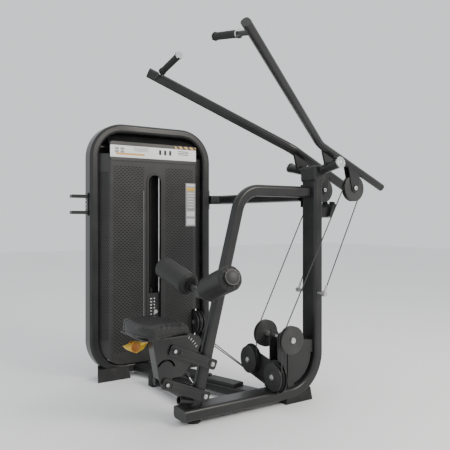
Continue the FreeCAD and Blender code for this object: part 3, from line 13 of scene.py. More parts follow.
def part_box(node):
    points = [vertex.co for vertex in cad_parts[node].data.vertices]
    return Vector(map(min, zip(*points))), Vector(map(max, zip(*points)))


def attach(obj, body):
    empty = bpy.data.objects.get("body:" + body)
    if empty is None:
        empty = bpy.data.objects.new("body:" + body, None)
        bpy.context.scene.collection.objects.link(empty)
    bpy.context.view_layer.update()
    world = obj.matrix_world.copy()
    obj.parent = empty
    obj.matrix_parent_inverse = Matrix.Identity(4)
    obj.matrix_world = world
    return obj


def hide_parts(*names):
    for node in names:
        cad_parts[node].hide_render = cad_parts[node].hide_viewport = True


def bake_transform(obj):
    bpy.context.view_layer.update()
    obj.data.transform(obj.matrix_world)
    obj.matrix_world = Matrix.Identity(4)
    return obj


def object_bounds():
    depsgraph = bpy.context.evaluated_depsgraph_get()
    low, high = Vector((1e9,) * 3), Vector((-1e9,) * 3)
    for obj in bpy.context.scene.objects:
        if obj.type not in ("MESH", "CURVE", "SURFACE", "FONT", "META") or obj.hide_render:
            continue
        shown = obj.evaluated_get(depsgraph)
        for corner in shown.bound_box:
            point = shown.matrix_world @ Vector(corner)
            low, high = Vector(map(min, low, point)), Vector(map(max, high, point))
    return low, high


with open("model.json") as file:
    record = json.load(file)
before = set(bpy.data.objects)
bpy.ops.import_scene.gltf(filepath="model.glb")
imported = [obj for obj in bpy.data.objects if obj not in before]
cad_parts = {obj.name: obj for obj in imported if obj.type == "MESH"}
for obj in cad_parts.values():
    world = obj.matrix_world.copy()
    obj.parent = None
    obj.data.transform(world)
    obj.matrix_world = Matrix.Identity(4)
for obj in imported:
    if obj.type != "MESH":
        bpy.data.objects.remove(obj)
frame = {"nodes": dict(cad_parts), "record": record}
cad_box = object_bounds()
RECORD = frame["record"]
NODES = frame["nodes"]

PIVOT_LEAN = math.radians(12.0)                     # the arm axes rise outwards
PIVOT_END = (0.763, 0.198, 1.260)                   # outer end of an arm's pivot sleeve
COLUMN_PINS = ((0.079, 0.273), (0.040, 0.125))      # X and Z of the links' pins, upper first
SEAT_PINS = ((-0.122, 0.360), (-0.161, 0.212))
LINK_HALF = 0.042                                   # outer face of a link from the middle plane
GRIP_END = (0.013, 0.366, 1.749)                    # outer end of a hand grip


# ---------------------------------------------------------------- shader helpers
class Value:
    """A number socket that takes part in sums, each of which adds a Math node."""

    def __init__(self, finish, socket):
        self.finish = finish
        self.socket = socket

    def math(self, operation, other, swap=False):
        pair = (other, self) if swap else (self, other)
        return self.finish.node("ShaderNodeMath", {"operation": operation}, dict(enumerate(pair)))

    def __add__(self, other):
        return self.math("ADD", other)

    def __sub__(self, other):
        return self.math("SUBTRACT", other)

    def __rsub__(self, other):
        return self.math("SUBTRACT", other, swap=True)

    def __mul__(self, other):
        return self.math("MULTIPLY", other)

    def __gt__(self, other):
        return self.math("GREATER_THAN", other)

    def __lt__(self, other):
        return self.math("LESS_THAN", other)

    __radd__ = __add__
    __rmul__ = __mul__


class Finish:
    """One material and the nodes that make it."""

    def __init__(self, name, **fixed):
        self.material = bpy.data.materials.new(name)
        self.material.use_nodes = True
        self.tree = self.material.node_tree
        self.shader = self.tree.nodes["Principled BSDF"]
        for socket, value in fixed.items():
            self.shader.inputs[socket.replace("_", " ").title().replace("Ior", "IOR")].default_value = value
        coords = self.tree.nodes.new("ShaderNodeTexCoord")
        self.place = coords.outputs["Object"]

    def node(self, kind, settings=None, values=None, output=0):
        made = self.tree.nodes.new(kind)
        for key, value in (settings or {}).items():
            setattr(made, key, value)
        for key, value in (values or {}).items():
            self.feed(made.inputs[key], value)
        return Value(self, made.outputs[output])

    def feed(self, socket, value):
        if isinstance(value, Value):
            value = value.socket
        if isinstance(value, bpy.types.NodeSocket):
            self.tree.links.new(value, socket)
        else:
            socket.default_value = value

    def noise(self, scale, detail=3.0, roughness=0.5, place=None):
        return self.node("ShaderNodeTexNoise", {}, {"Vector": place or self.place, "Scale": scale,
                                                    "Detail": detail, "Roughness": roughness})

    def axes(self, place=None):
        split = self.node("ShaderNodeSeparateXYZ", {}, {0: place or self.place}).socket.node
        return [Value(self, split.outputs[i]) for i in range(3)]

    def mix(self, share, first, second):
        return self.node("ShaderNodeMix", {"data_type": "RGBA"}, {0: share, 6: first, 7: second}, 2)

    def ramp(self, share, low, high):
        """Share stretched so that low becomes 0 and high becomes 1."""
        return self.node("ShaderNodeMapRange", {}, {0: share, 1: low, 2: high})

    def bump(self, height, strength, distance, under=None):
        values = {"Height": height, "Strength": strength, "Distance": distance}
        if under is not None:
            values["Normal"] = under
        return self.node("ShaderNodeBump", {}, values)

    def set(self, **links):
        for socket, value in links.items():
            self.feed(self.shader.inputs[socket.replace("_", " ").title()], value)
        return self.material


def grey(level, warm=0.0):
    return (level * (1 + warm), level, level * (1 - warm), 1.0)


# ---------------------------------------------------------------- finishes
def powder_coat(name, dark, light, roughness=0.36):
    """Satin powder coat: faint cloudiness, orange peel and a few duller patches."""
    f = Finish(name, specular_ior_level=0.32, coat_roughness=0.22)
    cloud = f.noise(7.0, 4.0)
    peel = f.noise(1400.0, 2.0)
    speck = f.noise(260.0, 5.0, 0.7)
    colour = f.mix(f.ramp(cloud, 0.35, 0.65), dark, light)
    colour = f.mix(f.ramp(speck, 0.66, 0.74) * 0.25, colour, grey(light[1] * 1.9))
    return f.set(base_color=colour, roughness=roughness - 0.05 + cloud * 0.1,
                 coat_weight=0.06 + cloud * 0.08, normal=f.bump(peel, 0.12, 0.0004))


def moulded_plastic(name, colour, roughness=0.5, grain=900.0):
    f = Finish(name, specular_ior_level=0.5)
    cloud = f.noise(18.0, 3.0)
    tooth = f.noise(grain, 2.0)
    shade = f.mix(cloud, colour, tuple(c * 1.35 for c in colour[:3]) + (1.0,))
    return f.set(base_color=shade, roughness=roughness - 0.06 + cloud * 0.12,
                 normal=f.bump(tooth, 0.25, 0.0003))


def rubber(name, level=0.012, ribs=None):
    """Matt rubber; ribs is the spacing of fine rings along the hand grips."""
    f = Finish(name, specular_ior_level=0.35)
    dust = f.noise(24.0, 5.0, 0.65)
    pore = f.noise(1100.0, 2.0)
    normal = f.bump(pore, 0.35, 0.0003)
    if ribs:
        wave = f.node("ShaderNodeTexWave", {"bands_direction": "Y", "wave_profile": "SIN"},
                      {"Vector": f.place, "Scale": 0.314 / ribs, "Distortion": 0.0})
        normal = f.bump(wave, 0.35, 0.0006, normal)
    colour = f.mix(f.ramp(dust, 0.45, 0.8), grey(level), grey(level * 2.6, 0.03))
    return f.set(base_color=colour, roughness=0.6 + dust * 0.2, normal=normal)


def chrome(name):
    f = Finish(name, metallic=1.0)
    smear = f.noise(30.0, 4.0)
    return f.set(base_color=f.mix(smear, grey(0.62), grey(0.78)), roughness=0.06 + smear * 0.12)


def zinc(name, level=0.46, roughness=0.3):
    """Plated steel with a brushed grain."""
    f = Finish(name, metallic=1.0)
    stretched = f.node("ShaderNodeMapping", {}, {"Vector": f.place, "Scale": (40.0, 900.0, 900.0)})
    grain = f.noise(1.0, 3.0, place=stretched.socket)
    cloud = f.noise(60.0, 3.0)
    return f.set(base_color=f.mix(cloud, grey(level), grey(level * 1.35)),
                 roughness=roughness + grain * 0.16, normal=f.bump(grain, 0.08, 0.0002))


def cast_plate(name):
    f = Finish(name, specular_ior_level=0.5)
    lumps = f.noise(160.0, 5.0, 0.6)
    cloud = f.noise(12.0, 3.0)
    colour = f.mix(cloud, grey(0.012), grey(0.024))
    return f.set(base_color=colour, roughness=0.38 + cloud * 0.16, normal=f.bump(lumps, 0.3, 0.0006))


def upholstery(name):
    """Black grained vinyl over foam, with painted shade in the grain's valleys and painted sheen on the
    crests of the broad folds, where the coat is a little glossier too.
    """
    f = Finish(name, specular_ior_level=0.35, coat_roughness=0.4)
    cells = f.node("ShaderNodeTexVoronoi", {"feature": "DISTANCE_TO_EDGE"},
                   {"Vector": f.place, "Scale": 420.0})
    creases = f.noise(190.0, 5.0, 0.6)
    folds = f.noise(16.0, 3.0)
    grain = f.bump(f.ramp(cells, 0.0, 0.25), 0.4, 0.0004)
    grain = f.bump(creases, 0.22, 0.0008, grain)
    grain = f.bump(folds, 0.2, 0.004, grain)
    # painted shade: the grain's valleys, at the cell edges, darker than its tops
    colour = f.mix(f.ramp(cells, 0.0, 0.12), grey(0.006), grey(0.015, 0.02))
    # painted sheen: the crests of the broad folds lighter
    colour = f.mix(f.ramp(folds, 0.4, 0.7) * 0.5, colour, grey(0.022, 0.02))
    return f.set(base_color=colour, roughness=0.42 + folds * 0.16, coat_weight=0.04 + folds * 0.06,
                 normal=grain)


def wire_rope(name):
    """Black nylon jacket with the strands showing faintly through it."""
    f = Finish(name, specular_ior_level=0.6)
    turned = f.node("ShaderNodeMapping", {}, {"Vector": f.place, "Rotation": (0.5, 0.6, 0.5)})
    wave = f.node("ShaderNodeTexWave", {"bands_direction": "DIAGONAL"},
                  {"Vector": turned.socket, "Scale": 120.0})
    return f.set(base_color=f.mix(wave, grey(0.008), grey(0.02)), roughness=0.3 + wave * 0.12,
                 normal=f.bump(wave, 0.3, 0.0004))


def printed_panel(name):
    """White panel, its middle band plain and black bands above and below with amber bars."""
    low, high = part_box("placard")
    f = Finish(name, specular_ior_level=0.5, coat_roughness=0.1)
    x, _, z = f.axes()
    up = (z - low.z) * (1.0 / (high.z - low.z))
    along = (x - low.x) * (1.0 / (high.x - low.x))
    black = (up > 0.80) + (up < 0.17)
    bars = f.node("ShaderNodeTexWave", {"bands_direction": "DIAGONAL"},
                  {"Vector": f.place, "Scale": 16.0})
    amber = (bars > 0.5) * (up > 0.84) * (up < 0.96) * (along > 0.74)
    strip = (up > 0.30) * (up < 0.40) * (along > 0.06) * (along < 0.38)
    print_noise = f.noise(600.0, 2.0)
    colour = f.mix(black, grey(0.8), grey(0.012))
    colour = f.mix(amber, colour, (0.75, 0.45, 0.08, 1.0))
    colour = f.mix(strip, colour, (0.62, 0.33, 0.05, 1.0))
    return f.set(base_color=colour, roughness=0.28 + print_noise * 0.08)


def flat_print(name, colour, roughness=0.35):
    f = Finish(name)
    cloud = f.noise(90.0, 2.0)
    worn = tuple(c * 0.8 for c in colour[:3]) + (1.0,)
    return f.set(base_color=f.mix(cloud, colour, worn), roughness=roughness + cloud * 0.1)


COAT = powder_coat("graphite_powder_coat", grey(0.013, -0.02), grey(0.021, 0.0), 0.33)
SHROUD = powder_coat("shroud_powder_coat", grey(0.026, 0.02), grey(0.036, 0.02), 0.42)
PLASTIC = moulded_plastic("dark_moulding", grey(0.013))
COVER = moulded_plastic("pulley_cover_moulding", grey(0.02), 0.42, 1500.0)
FOOT = rubber("foot_rubber")
GRIP = rubber("grip_rubber", 0.008, ribs=0.004)
CHROME = chrome("polished_chrome")
ZINC = zinc("zinc_bolt_steel")
IRON = cast_plate("stack_plate_iron")
VINYL = upholstery("grained_vinyl")
PIPING = moulded_plastic("seam_piping", grey(0.006), 0.55)
ROPE = wire_rope("cable_jacket")
GLOSS = moulded_plastic("gloss_black_barrel", grey(0.006), 0.16)
YELLOW = moulded_plastic("lever_yellow", (0.62, 0.40, 0.035, 1.0), 0.36)
AMBER = moulded_plastic("lever_cup_amber", (0.36, 0.13, 0.02, 1.0), 0.4)
PANEL = printed_panel("printed_panel")
# painted shade: dark discs stand where the shroud's holes would show its dark inside
HOLE_SHADE = flat_print("perforation_shadow", grey(0.0025), 0.8)
WHITE_MARK = flat_print("white_mark", grey(0.7))
LABEL_YELLOW = flat_print("label_yellow", (0.66, 0.42, 0.04, 1.0))
LABEL_GREY = flat_print("label_grey", grey(0.32))

SLOT_FINISH = {
    "frame_paint": COAT, "shroud_steel": SHROUD, "dark_plastic": PLASTIC, "foot_rubber": FOOT,
    "grip_rubber": GRIP, "chrome": CHROME, "bolt_steel": ZINC, "plate_iron": IRON,
    "cable_jacket": ROPE, "upholstery": VINYL, "black_steel": GLOSS, "lever_yellow": YELLOW,
    "placard_white": PANEL,
}


def paint_frame():
    """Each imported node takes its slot's finish; pulleys and covers have their own moulding."""
    slots = {row["node"]: row["material_slot"] for row in RECORD["subparts"]}
    for name, node in NODES.items():
        node.data.materials.clear()
        own = COVER if "pulley" in name and slots[name] == "dark_plastic" else SLOT_FINISH[slots[name]]
        node.data.materials.append(own)


# ---------------------------------------------------------------- mesh helpers
def new_piece(name, mesh, body, finish=None):
    """A finished mesh that rides on a body of the frame."""
    piece = bpy.data.objects.new(name, mesh)
    bpy.context.scene.collection.objects.link(piece)
    if finish is not None:
        mesh.materials.clear()
        mesh.materials.append(finish)
    if body:
        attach(piece, body)
    return piece


def mesh_of(name, work, smooth_angle=35.0):
    mesh = bpy.data.meshes.new(name)
    bmesh.ops.remove_doubles(work, verts=work.verts, dist=1e-6)
    bmesh.ops.recalc_face_normals(work, faces=work.faces)
    work.to_mesh(mesh)
    work.free()
    mesh.shade_smooth()
    mesh.set_sharp_from_angle(angle=math.radians(smooth_angle))
    return mesh


def frame_on(origin, normal, right=None):
    """Matrix that stands local +Z along a normal at a point."""
    z = Vector(normal).normalized()
    guess = Vector(right) if right else (Vector((0, 0, 1)) if abs(z.z) < 0.9 else Vector((1, 0, 0)))
    x = (guess - z * guess.dot(z)).normalized()
    y = z.cross(x)
    turn = Matrix((x, y, z)).transposed().to_4x4()
    return Matrix.Translation(Vector(origin)) @ turn


def turned(outline, sides=40):
    """Solid of revolution about local Z: outline is (radius, height) from the axis round to it."""
    work = bmesh.new()
    rings = []
    for radius, height in outline:
        if radius < 1e-6:
            rings.append([work.verts.new((0, 0, height))])
            continue
        rings.append([work.verts.new((radius * math.cos(2 * math.pi * i / sides),
                                      radius * math.sin(2 * math.pi * i / sides), height))
                      for i in range(sides)])
    for low, high in zip(rings, rings[1:]):
        for i in range(sides):
            j = (i + 1) % sides
            corners = [low[i % len(low)], low[j % len(low)], high[j % len(high)], high[i % len(high)]]
            corners = list(dict.fromkeys(corners))
            if len(corners) > 2:
                work.faces.new(corners)
    return work


def rounded_block(width, depth, height, bevel, segments=3):
    """Box centred on local Z = height / 2 with rounded edges."""
    work = bmesh.new()
    bmesh.ops.create_cube(work, size=1.0)
    bmesh.ops.scale(work, vec=(width, depth, height), verts=work.verts)
    bmesh.ops.translate(work, vec=(0, 0, height / 2), verts=work.verts)
    bmesh.ops.bevel(work, geom=work.edges[:], offset=bevel, segments=segments, affect="EDGES",
                    profile=0.5)
    return work


def prism(points, height, bevel=0.0):
    """Flat outline in local XY pushed up Z, with its top edge rounded."""
    work = bmesh.new()
    face = work.faces.new([work.verts.new((x, y, 0)) for x, y in points])
    top = bmesh.ops.extrude_face_region(work, geom=[face])
    verts = [v for v in top["geom"] if isinstance(v, bmesh.types.BMVert)]
    bmesh.ops.translate(work, vec=(0, 0, height), verts=verts)
    if bevel:
        rim = [e for e in work.edges if all(v.co.z > height - 1e-6 for v in e.verts)]
        bmesh.ops.bevel(work, geom=rim, offset=bevel, segments=3, affect="EDGES", profile=0.5)
    return work


def add(target, work, matrix):
    """Moves a work mesh into place and joins it to another."""
    bmesh.ops.transform(work, matrix=matrix, verts=work.verts)
    scratch = bpy.data.meshes.new("scratch")
    work.to_mesh(scratch)
    work.free()
    target.from_mesh(scratch)
    bpy.data.meshes.remove(scratch)


def tube_mesh(name, points, radius, closed=False, order=3, sides=8):
    """Round cord through a smooth NURBS line, as a mesh."""
    curve = bpy.data.curves.new(name, "CURVE")
    curve.dimensions = "3D"
    spline = curve.splines.new("NURBS")
    spline.points.add(len(points) - 1)
    for target, point in zip(spline.points, points):
        target.co = (*point, 1.0)
    spline.order_u = order
    spline.use_endpoint_u = not closed
    spline.use_cyclic_u = closed
    curve.bevel_depth = radius
    curve.bevel_resolution = sides // 4
    curve.use_fill_caps = not closed
    holder = bpy.data.objects.new(name, curve)
    mesh = bpy.data.meshes.new_from_object(holder)
    bpy.data.objects.remove(holder)
    mesh.shade_smooth()
    return mesh


def facing_front(x, y, z):
    """Stands a flat piece on the tower's front face, upright."""
    return frame_on((x, y, z), (0, -1, 0), (1, 0, 0))


def soften(work):
    bmesh.ops.smooth_vert(work, verts=work.verts, factor=0.5, use_axis_x=True, use_axis_y=True,
                          use_axis_z=True)


def pivot_axis(sign):
    return Vector((0, sign * math.cos(PIVOT_LEAN), math.sin(PIVOT_LEAN)))


def pivot_end(sign):
    x, y, z = PIVOT_END
    return Vector((x, sign * y, z))


def merged_copy(node):
    """The node's triangles as one joined surface."""
    work = bmesh.new()
    work.from_mesh(NODES[node].data)
    bmesh.ops.remove_doubles(work, verts=work.verts, dist=1e-5)
    return work


def centre(node):
    low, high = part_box(node)
    return (low + high) / 2


# ---------------------------------------------------------------- camera, light and floor
def set_stage():
    floor_mesh = bpy.data.meshes.new("floor")
    work = bmesh.new()
    bmesh.ops.create_grid(work, x_segments=1, y_segments=1, size=14.0)
    work.to_mesh(floor_mesh)
    work.free()
    floor = bpy.data.objects.new("floor", floor_mesh)
    bpy.context.scene.collection.objects.link(floor)
    f = Finish("pale_floor", roughness=0.7)
    cloud = f.noise(0.7, 2.0)
    floor_mesh.materials.append(f.set(base_color=f.mix(cloud, grey(0.88), grey(0.92))))
    world = bpy.data.worlds.new("studio")
    world.use_nodes = True
    world.node_tree.nodes["Background"].inputs["Color"].default_value = (0.96, 0.98, 1.0, 1.0)
    world.node_tree.nodes["Background"].inputs["Strength"].default_value = 1.0
    bpy.context.scene.world = world
    middle = (cad_box[0] + cad_box[1]) / 2
    lamps = (
        ("key", (1.9, -3.2, 2.9), 1.6, 120.0, (1.0, 0.94, 0.86)),
        ("fill", (-3.4, -1.2, 1.9), 2.6, 16.0, (0.84, 0.92, 1.0)),
        ("top", (0.3, 0.6, 4.0), 2.6, 22.0, (1.0, 1.0, 1.0)),
    )
    for name, spot, size, power, colour in lamps:
        lamp = bpy.data.lights.new(name, "AREA")
        lamp.size, lamp.energy, lamp.color = size, power, colour
        holder = bpy.data.objects.new(name, lamp)
        holder.location = spot
        holder.rotation_euler = (middle - Vector(spot)).to_track_quat("-Z", "Y").to_euler()
        bpy.context.scene.collection.objects.link(holder)


def set_camera():
    camera = bpy.data.cameras.new("camera")
    camera.sensor_width = 36.0
    camera.lens = 44.25
    camera.shift_y = -0.0152
    holder = bpy.data.objects.new("camera", camera)
    holder.location = (-1.301, -2.2955, 0.970)
    holder.rotation_euler = (math.radians(90.0), 0.0, math.radians(-32.795))
    bpy.context.scene.collection.objects.link(holder)
    bpy.context.scene.camera = holder


# ---------------------------------------------------------------- padded pieces
def outline_seam(name, work, point, normal, radius, body):
    """Piping where a plane cuts a padded surface."""
    copy = work.copy()
    cut = bmesh.ops.bisect_plane(copy, geom=copy.verts[:] + copy.edges[:] + copy.faces[:],
                                 plane_co=point, plane_no=normal)
    edges = [e for e in cut["geom_cut"] if isinstance(e, bmesh.types.BMEdge)]
    link = {}
    for e in edges:
        a, b = e.verts
        link.setdefault(a, []).append(b)
        link.setdefault(b, []).append(a)
    start = max(link, key=lambda v: v.co.x)
    loop, last = [start], None
    while True:
        ahead = [v for v in link[loop[-1]] if v is not last]
        if not ahead or ahead[0] is start:
            break
        last = loop[-1]
        loop.append(ahead[0])
    step = max(1, len(loop) // 90)
    points = [tuple(v.co) for v in loop[::step]]
    copy.free()
    mesh = tube_mesh(name, points, radius, closed=True)
    return new_piece(name, mesh, body, PIPING)


def puff(mesh, name, voxel, cap, pressure=4.0, frames=20):
    """Blows a closed form up a little as stuffed cloth, and limits how far it swells."""
    piece = bpy.data.objects.new(name, mesh)
    bpy.context.scene.collection.objects.link(piece)
    remesh = piece.modifiers.new("remesh", "REMESH")
    remesh.mode = "VOXEL"
    remesh.voxel_size = voxel
    graph = bpy.context.evaluated_depsgraph_get()
    start = bpy.data.meshes.new_from_object(piece.evaluated_get(graph))
    piece.modifiers.remove(remesh)
    piece.data = start
    before = [v.co.copy() for v in start.vertices]
    cloth = piece.modifiers.new("cloth", "CLOTH")
    cloth.settings.use_pressure = True
    cloth.settings.uniform_pressure_force = pressure
    cloth.settings.tension_stiffness = 40.0
    cloth.settings.compression_stiffness = 40.0
    cloth.settings.bending_stiffness = 4.0
    cloth.settings.effector_weights.gravity = 0.0
    cloth.point_cache.frame_start = 1
    cloth.point_cache.frame_end = frames
    for step in range(1, frames + 1):
        bpy.context.scene.frame_set(step)
    graph = bpy.context.evaluated_depsgraph_get()
    done = bpy.data.meshes.new_from_object(piece.evaluated_get(graph))
    piece.modifiers.remove(cloth)
    bpy.context.scene.frame_set(1)
    for vertex, rest in zip(done.vertices, before):
        move = vertex.co - rest
        if move.length > cap:
            vertex.co = rest + move.normalized() * cap
    piece.data = done
    bpy.context.scene.collection.objects.unlink(piece)
    work = bmesh.new()
    work.from_mesh(piece.data)
    bpy.data.objects.remove(piece)
    return work


def keep_inside(work, low, high):
    for vertex in work.verts:
        vertex.co = Vector(max(a, min(b, c)) for a, b, c in zip(low, high, vertex.co))


def make_seat_pad():
    low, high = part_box("seat_pad")
    middle = (low + high) / 2
    seed = merged_copy("seat_pad")
    for vertex in seed.verts:
        for i, inset in enumerate((0.009, 0.009, 0.007)):
            span = (high[i] - low[i]) / 2
            vertex.co[i] = middle[i] + (vertex.co[i] - middle[i]) * (1 - inset / span)
    mesh = bpy.data.meshes.new("seat_seed")
    seed.to_mesh(mesh)
    seed.free()
    work = puff(mesh, "seat_seed", 0.006, 0.012)
    base = low.z
    for vertex in work.verts:
        point = vertex.co
        if point.z < base + 0.012:
            point.z = base + 0.0005
        share = max(0.0, 1 - ((point.x - middle.x + 0.02) / 0.115) ** 2 - (point.y / 0.13) ** 2)
        if point.z > middle.z:
            point.z -= 0.006 * share
        flare = max(0.0, (middle.z - point.z) / (middle.z - base))
        point.x = middle.x + (point.x - middle.x) * (1 + 0.018 * flare)
        point.y *= 1 + 0.022 * flare
    soften(work)
    soften(work)
    keep_inside(work, low - Vector((0.004, 0.004, 0.0)), high + Vector((0.004, 0.004, 0.003)))
    outline_seam("seat_piping", work, (0, 0, base + 0.014), (0, 0, 1), 0.0017, "seat")
    finished = mesh_of("seat_cushion", work, 60.0)
    piece = new_piece("seat_cushion", finished, "seat", VINYL)
    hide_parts("seat_pad")
    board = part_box("seat_carriage")[1].z
    shell = rounded_block(high.x - low.x - 0.05, high.y - low.y - 0.07, 0.008, 0.003)
    bmesh.ops.transform(shell, matrix=Matrix.Translation((middle.x, 0, board - 0.0075)), verts=shell.verts)
    new_piece("seat_base_board", mesh_of("seat_base_board", shell), "seat", PLASTIC)


ROLLER_ENDS = {-1: ((0.027, -0.086, 0.639), (0.001, -0.325, 0.716)),
               1: ((0.027, 0.086, 0.639), (0.001, 0.325, 0.716))}
ROLLER_RADIUS = 0.062


def make_roller(sign, side):
    """Foam roller: cloth-puffed sleeve, stitched end discs and a domed end cap."""
    inner, outer = (Vector(p) for p in ROLLER_ENDS[sign])
    along = outer - inner
    length = along.length
    stand = frame_on(inner, along, (0, 0, 1))
    r = ROLLER_RADIUS
    round_off = 0.016
    outline = [(0.0, 0.002), (0.016, 0.002), (r - round_off - 0.006, 0.002)]
    for i in range(7):
        a = math.pi / 2 * i / 6
        outline.append((r - 0.005 - round_off * (1 - math.sin(a)), 0.002 + round_off * (1 - math.cos(a))))
    for i in range(7):
        a = math.pi / 2 * i / 6
        outline.append((r - 0.005 - round_off * (1 - math.cos(a)),
                        length - 0.002 - round_off * (1 - math.sin(a))))
    outline += [(0.016, length - 0.002), (0.0, length - 0.002)]
    seed = turned(outline, 48)
    bmesh.ops.recalc_face_normals(seed, faces=seed.faces)
    mesh = bpy.data.meshes.new("roller_seed")
    seed.to_mesh(mesh)
    seed.free()
    work = puff(mesh, "roller_seed", 0.0065, 0.005, 3.0, 12)
    for vertex in work.verts:
        swell = math.sin(math.pi * max(0.0, min(1.0, vertex.co.z / length)))
        radial = Vector((vertex.co.x, vertex.co.y, 0))
        if radial.length > r * 0.5:
            wrinkle = 0.0005 * math.sin(9 * math.atan2(radial.y, radial.x)) * (1 - swell)
            vertex.co += radial.normalized() * (0.0012 * swell + wrinkle)
        vertex.co.z = max(0.0005, min(length - 0.0005, vertex.co.z))
    soften(work)
    bmesh.ops.transform(work, matrix=stand, verts=work.verts)
    body = side + "_thigh_roller"
    direction = along.normalized()
    for tag, share in (("inner", 0.014), ("outer", length - 0.014)):
        outline_seam("%s_roller_%s_piping" % (side, tag), work, inner + direction * share,
                     direction, 0.0014, body)
    piece = new_piece(side + "_roller_pad", mesh_of(side + "_roller_pad", work, 60.0), body, VINYL)
    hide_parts(body)
    dome = turned([(0.0, 0.0), (0.0352, 0.0), (0.0355, 0.004), (0.0335, 0.0090), (0.025, 0.0128),
                   (0.012, 0.0150), (0.0, 0.0155)], 40)
    bmesh.ops.transform(dome, matrix=frame_on(outer + direction * 0.003, along), verts=dome.verts)
    seams = bmesh.new()
    for i in range(12):
        a = 2 * math.pi * i / 12
        spoke = Vector((math.cos(a), math.sin(a), 0))
        bead = rounded_block(0.017, 0.0016, 0.0018, 0.0005)
        place = frame_on(outer + direction * -0.0024, along)
        add(seams, bead, place @ Matrix.Translation(spoke * 0.0435) @ Matrix.Rotation(a, 4, "Z"))
    new_piece(side + "_roller_seams", mesh_of(side + "_roller_seams", seams), body, PIPING)
    new_piece(side + "_roller_end_cap", mesh_of(side + "_roller_end_cap", dome), "frame", PLASTIC)


# ---------------------------------------------------------------- weight tower skin
def grid_tree():
    """Staggered grid of small discs, with a clear window in the middle of it."""
    tree = bpy.data.node_groups.new("hole_grid", "GeometryNodeTree")
    add_input = tree.interface.new_socket
    add_input("Geometry", in_out="INPUT", socket_type="NodeSocketGeometry")
    for name, value in (("Width", 1.0), ("Height", 1.0), ("Pitch", 0.013), ("Radius", 0.004),
                        ("Clear Left", 0.0), ("Clear Right", 0.0)):
        add_input(name, in_out="INPUT", socket_type="NodeSocketFloat").default_value = value
    for name in ("Columns", "Rows"):
        add_input(name, in_out="INPUT", socket_type="NodeSocketInt").default_value = 10
    add_input("Finish", in_out="INPUT", socket_type="NodeSocketMaterial")
    add_input("Geometry", in_out="OUTPUT", socket_type="NodeSocketGeometry")
    new, link = tree.nodes.new, tree.links.new
    given = new("NodeGroupInput").outputs
    grid = new("GeometryNodeMeshGrid")
    link(given["Width"], grid.inputs["Size X"])
    link(given["Height"], grid.inputs["Size Y"])
    link(given["Columns"], grid.inputs["Vertices X"])
    link(given["Rows"], grid.inputs["Vertices Y"])

    def math_node(operation, *values):
        made = new("ShaderNodeMath")
        made.operation = operation
        for i, value in enumerate(values):
            if isinstance(value, (int, float)):
                made.inputs[i].default_value = value
            else:
                link(value, made.inputs[i])
        return made.outputs[0]

    index = new("GeometryNodeInputIndex").outputs[0]
    odd = math_node("MODULO", index, 2.0)
    offset = math_node("MULTIPLY", math_node("SUBTRACT", odd, 0.5),
                       math_node("MULTIPLY", given["Pitch"], 0.5))
    row = new("ShaderNodeCombineXYZ")
    link(offset, row.inputs["X"])
    shift = new("GeometryNodeSetPosition")
    link(grid.outputs["Mesh"], shift.inputs["Geometry"])
    link(row.outputs[0], shift.inputs["Offset"])
    split = new("ShaderNodeSeparateXYZ")
    link(new("GeometryNodeInputPosition").outputs[0], split.inputs[0])
    inside = math_node("MULTIPLY", math_node("GREATER_THAN", split.outputs["X"], given["Clear Left"]),
                       math_node("LESS_THAN", split.outputs["X"], given["Clear Right"]))
    drop = new("GeometryNodeDeleteGeometry")
    link(shift.outputs[0], drop.inputs["Geometry"])
    link(inside, drop.inputs["Selection"])
    disc = new("GeometryNodeMeshCircle")
    disc.fill_type = "NGON"
    disc.inputs["Vertices"].default_value = 8
    link(given["Radius"], disc.inputs["Radius"])
    scatter = new("GeometryNodeInstanceOnPoints")
    link(drop.outputs[0], scatter.inputs["Points"])
    link(disc.outputs["Mesh"], scatter.inputs["Instance"])
    real = new("GeometryNodeRealizeInstances")
    link(scatter.outputs[0], real.inputs[0])
    painted = new("GeometryNodeSetMaterial")
    link(real.outputs[0], painted.inputs["Geometry"])
    link(given["Finish"], painted.inputs["Material"])
    link(painted.outputs[0], new("NodeGroupOutput").inputs[0])
    return tree


def run_tree(name, tree, values, matrix, body):
    """Plain mesh of a geometry tree with the named inputs set, put in place on a body."""
    holder = bpy.data.objects.new(name, bpy.data.meshes.new(name))
    bpy.context.scene.collection.objects.link(holder)
    modifier = holder.modifiers.new("pattern", "NODES")
    modifier.node_group = tree
    for item in tree.interface.items_tree:
        if item.name in values and item.in_out == "INPUT":
            modifier[item.identifier] = values[item.name]
    graph = bpy.context.evaluated_depsgraph_get()
    mesh = bpy.data.meshes.new_from_object(holder.evaluated_get(graph))
    bpy.data.objects.remove(holder)
    mesh.transform(matrix)
    return new_piece(name, mesh, body, None)


HOLE_PITCH = 0.0125
PROUD = 0.0003


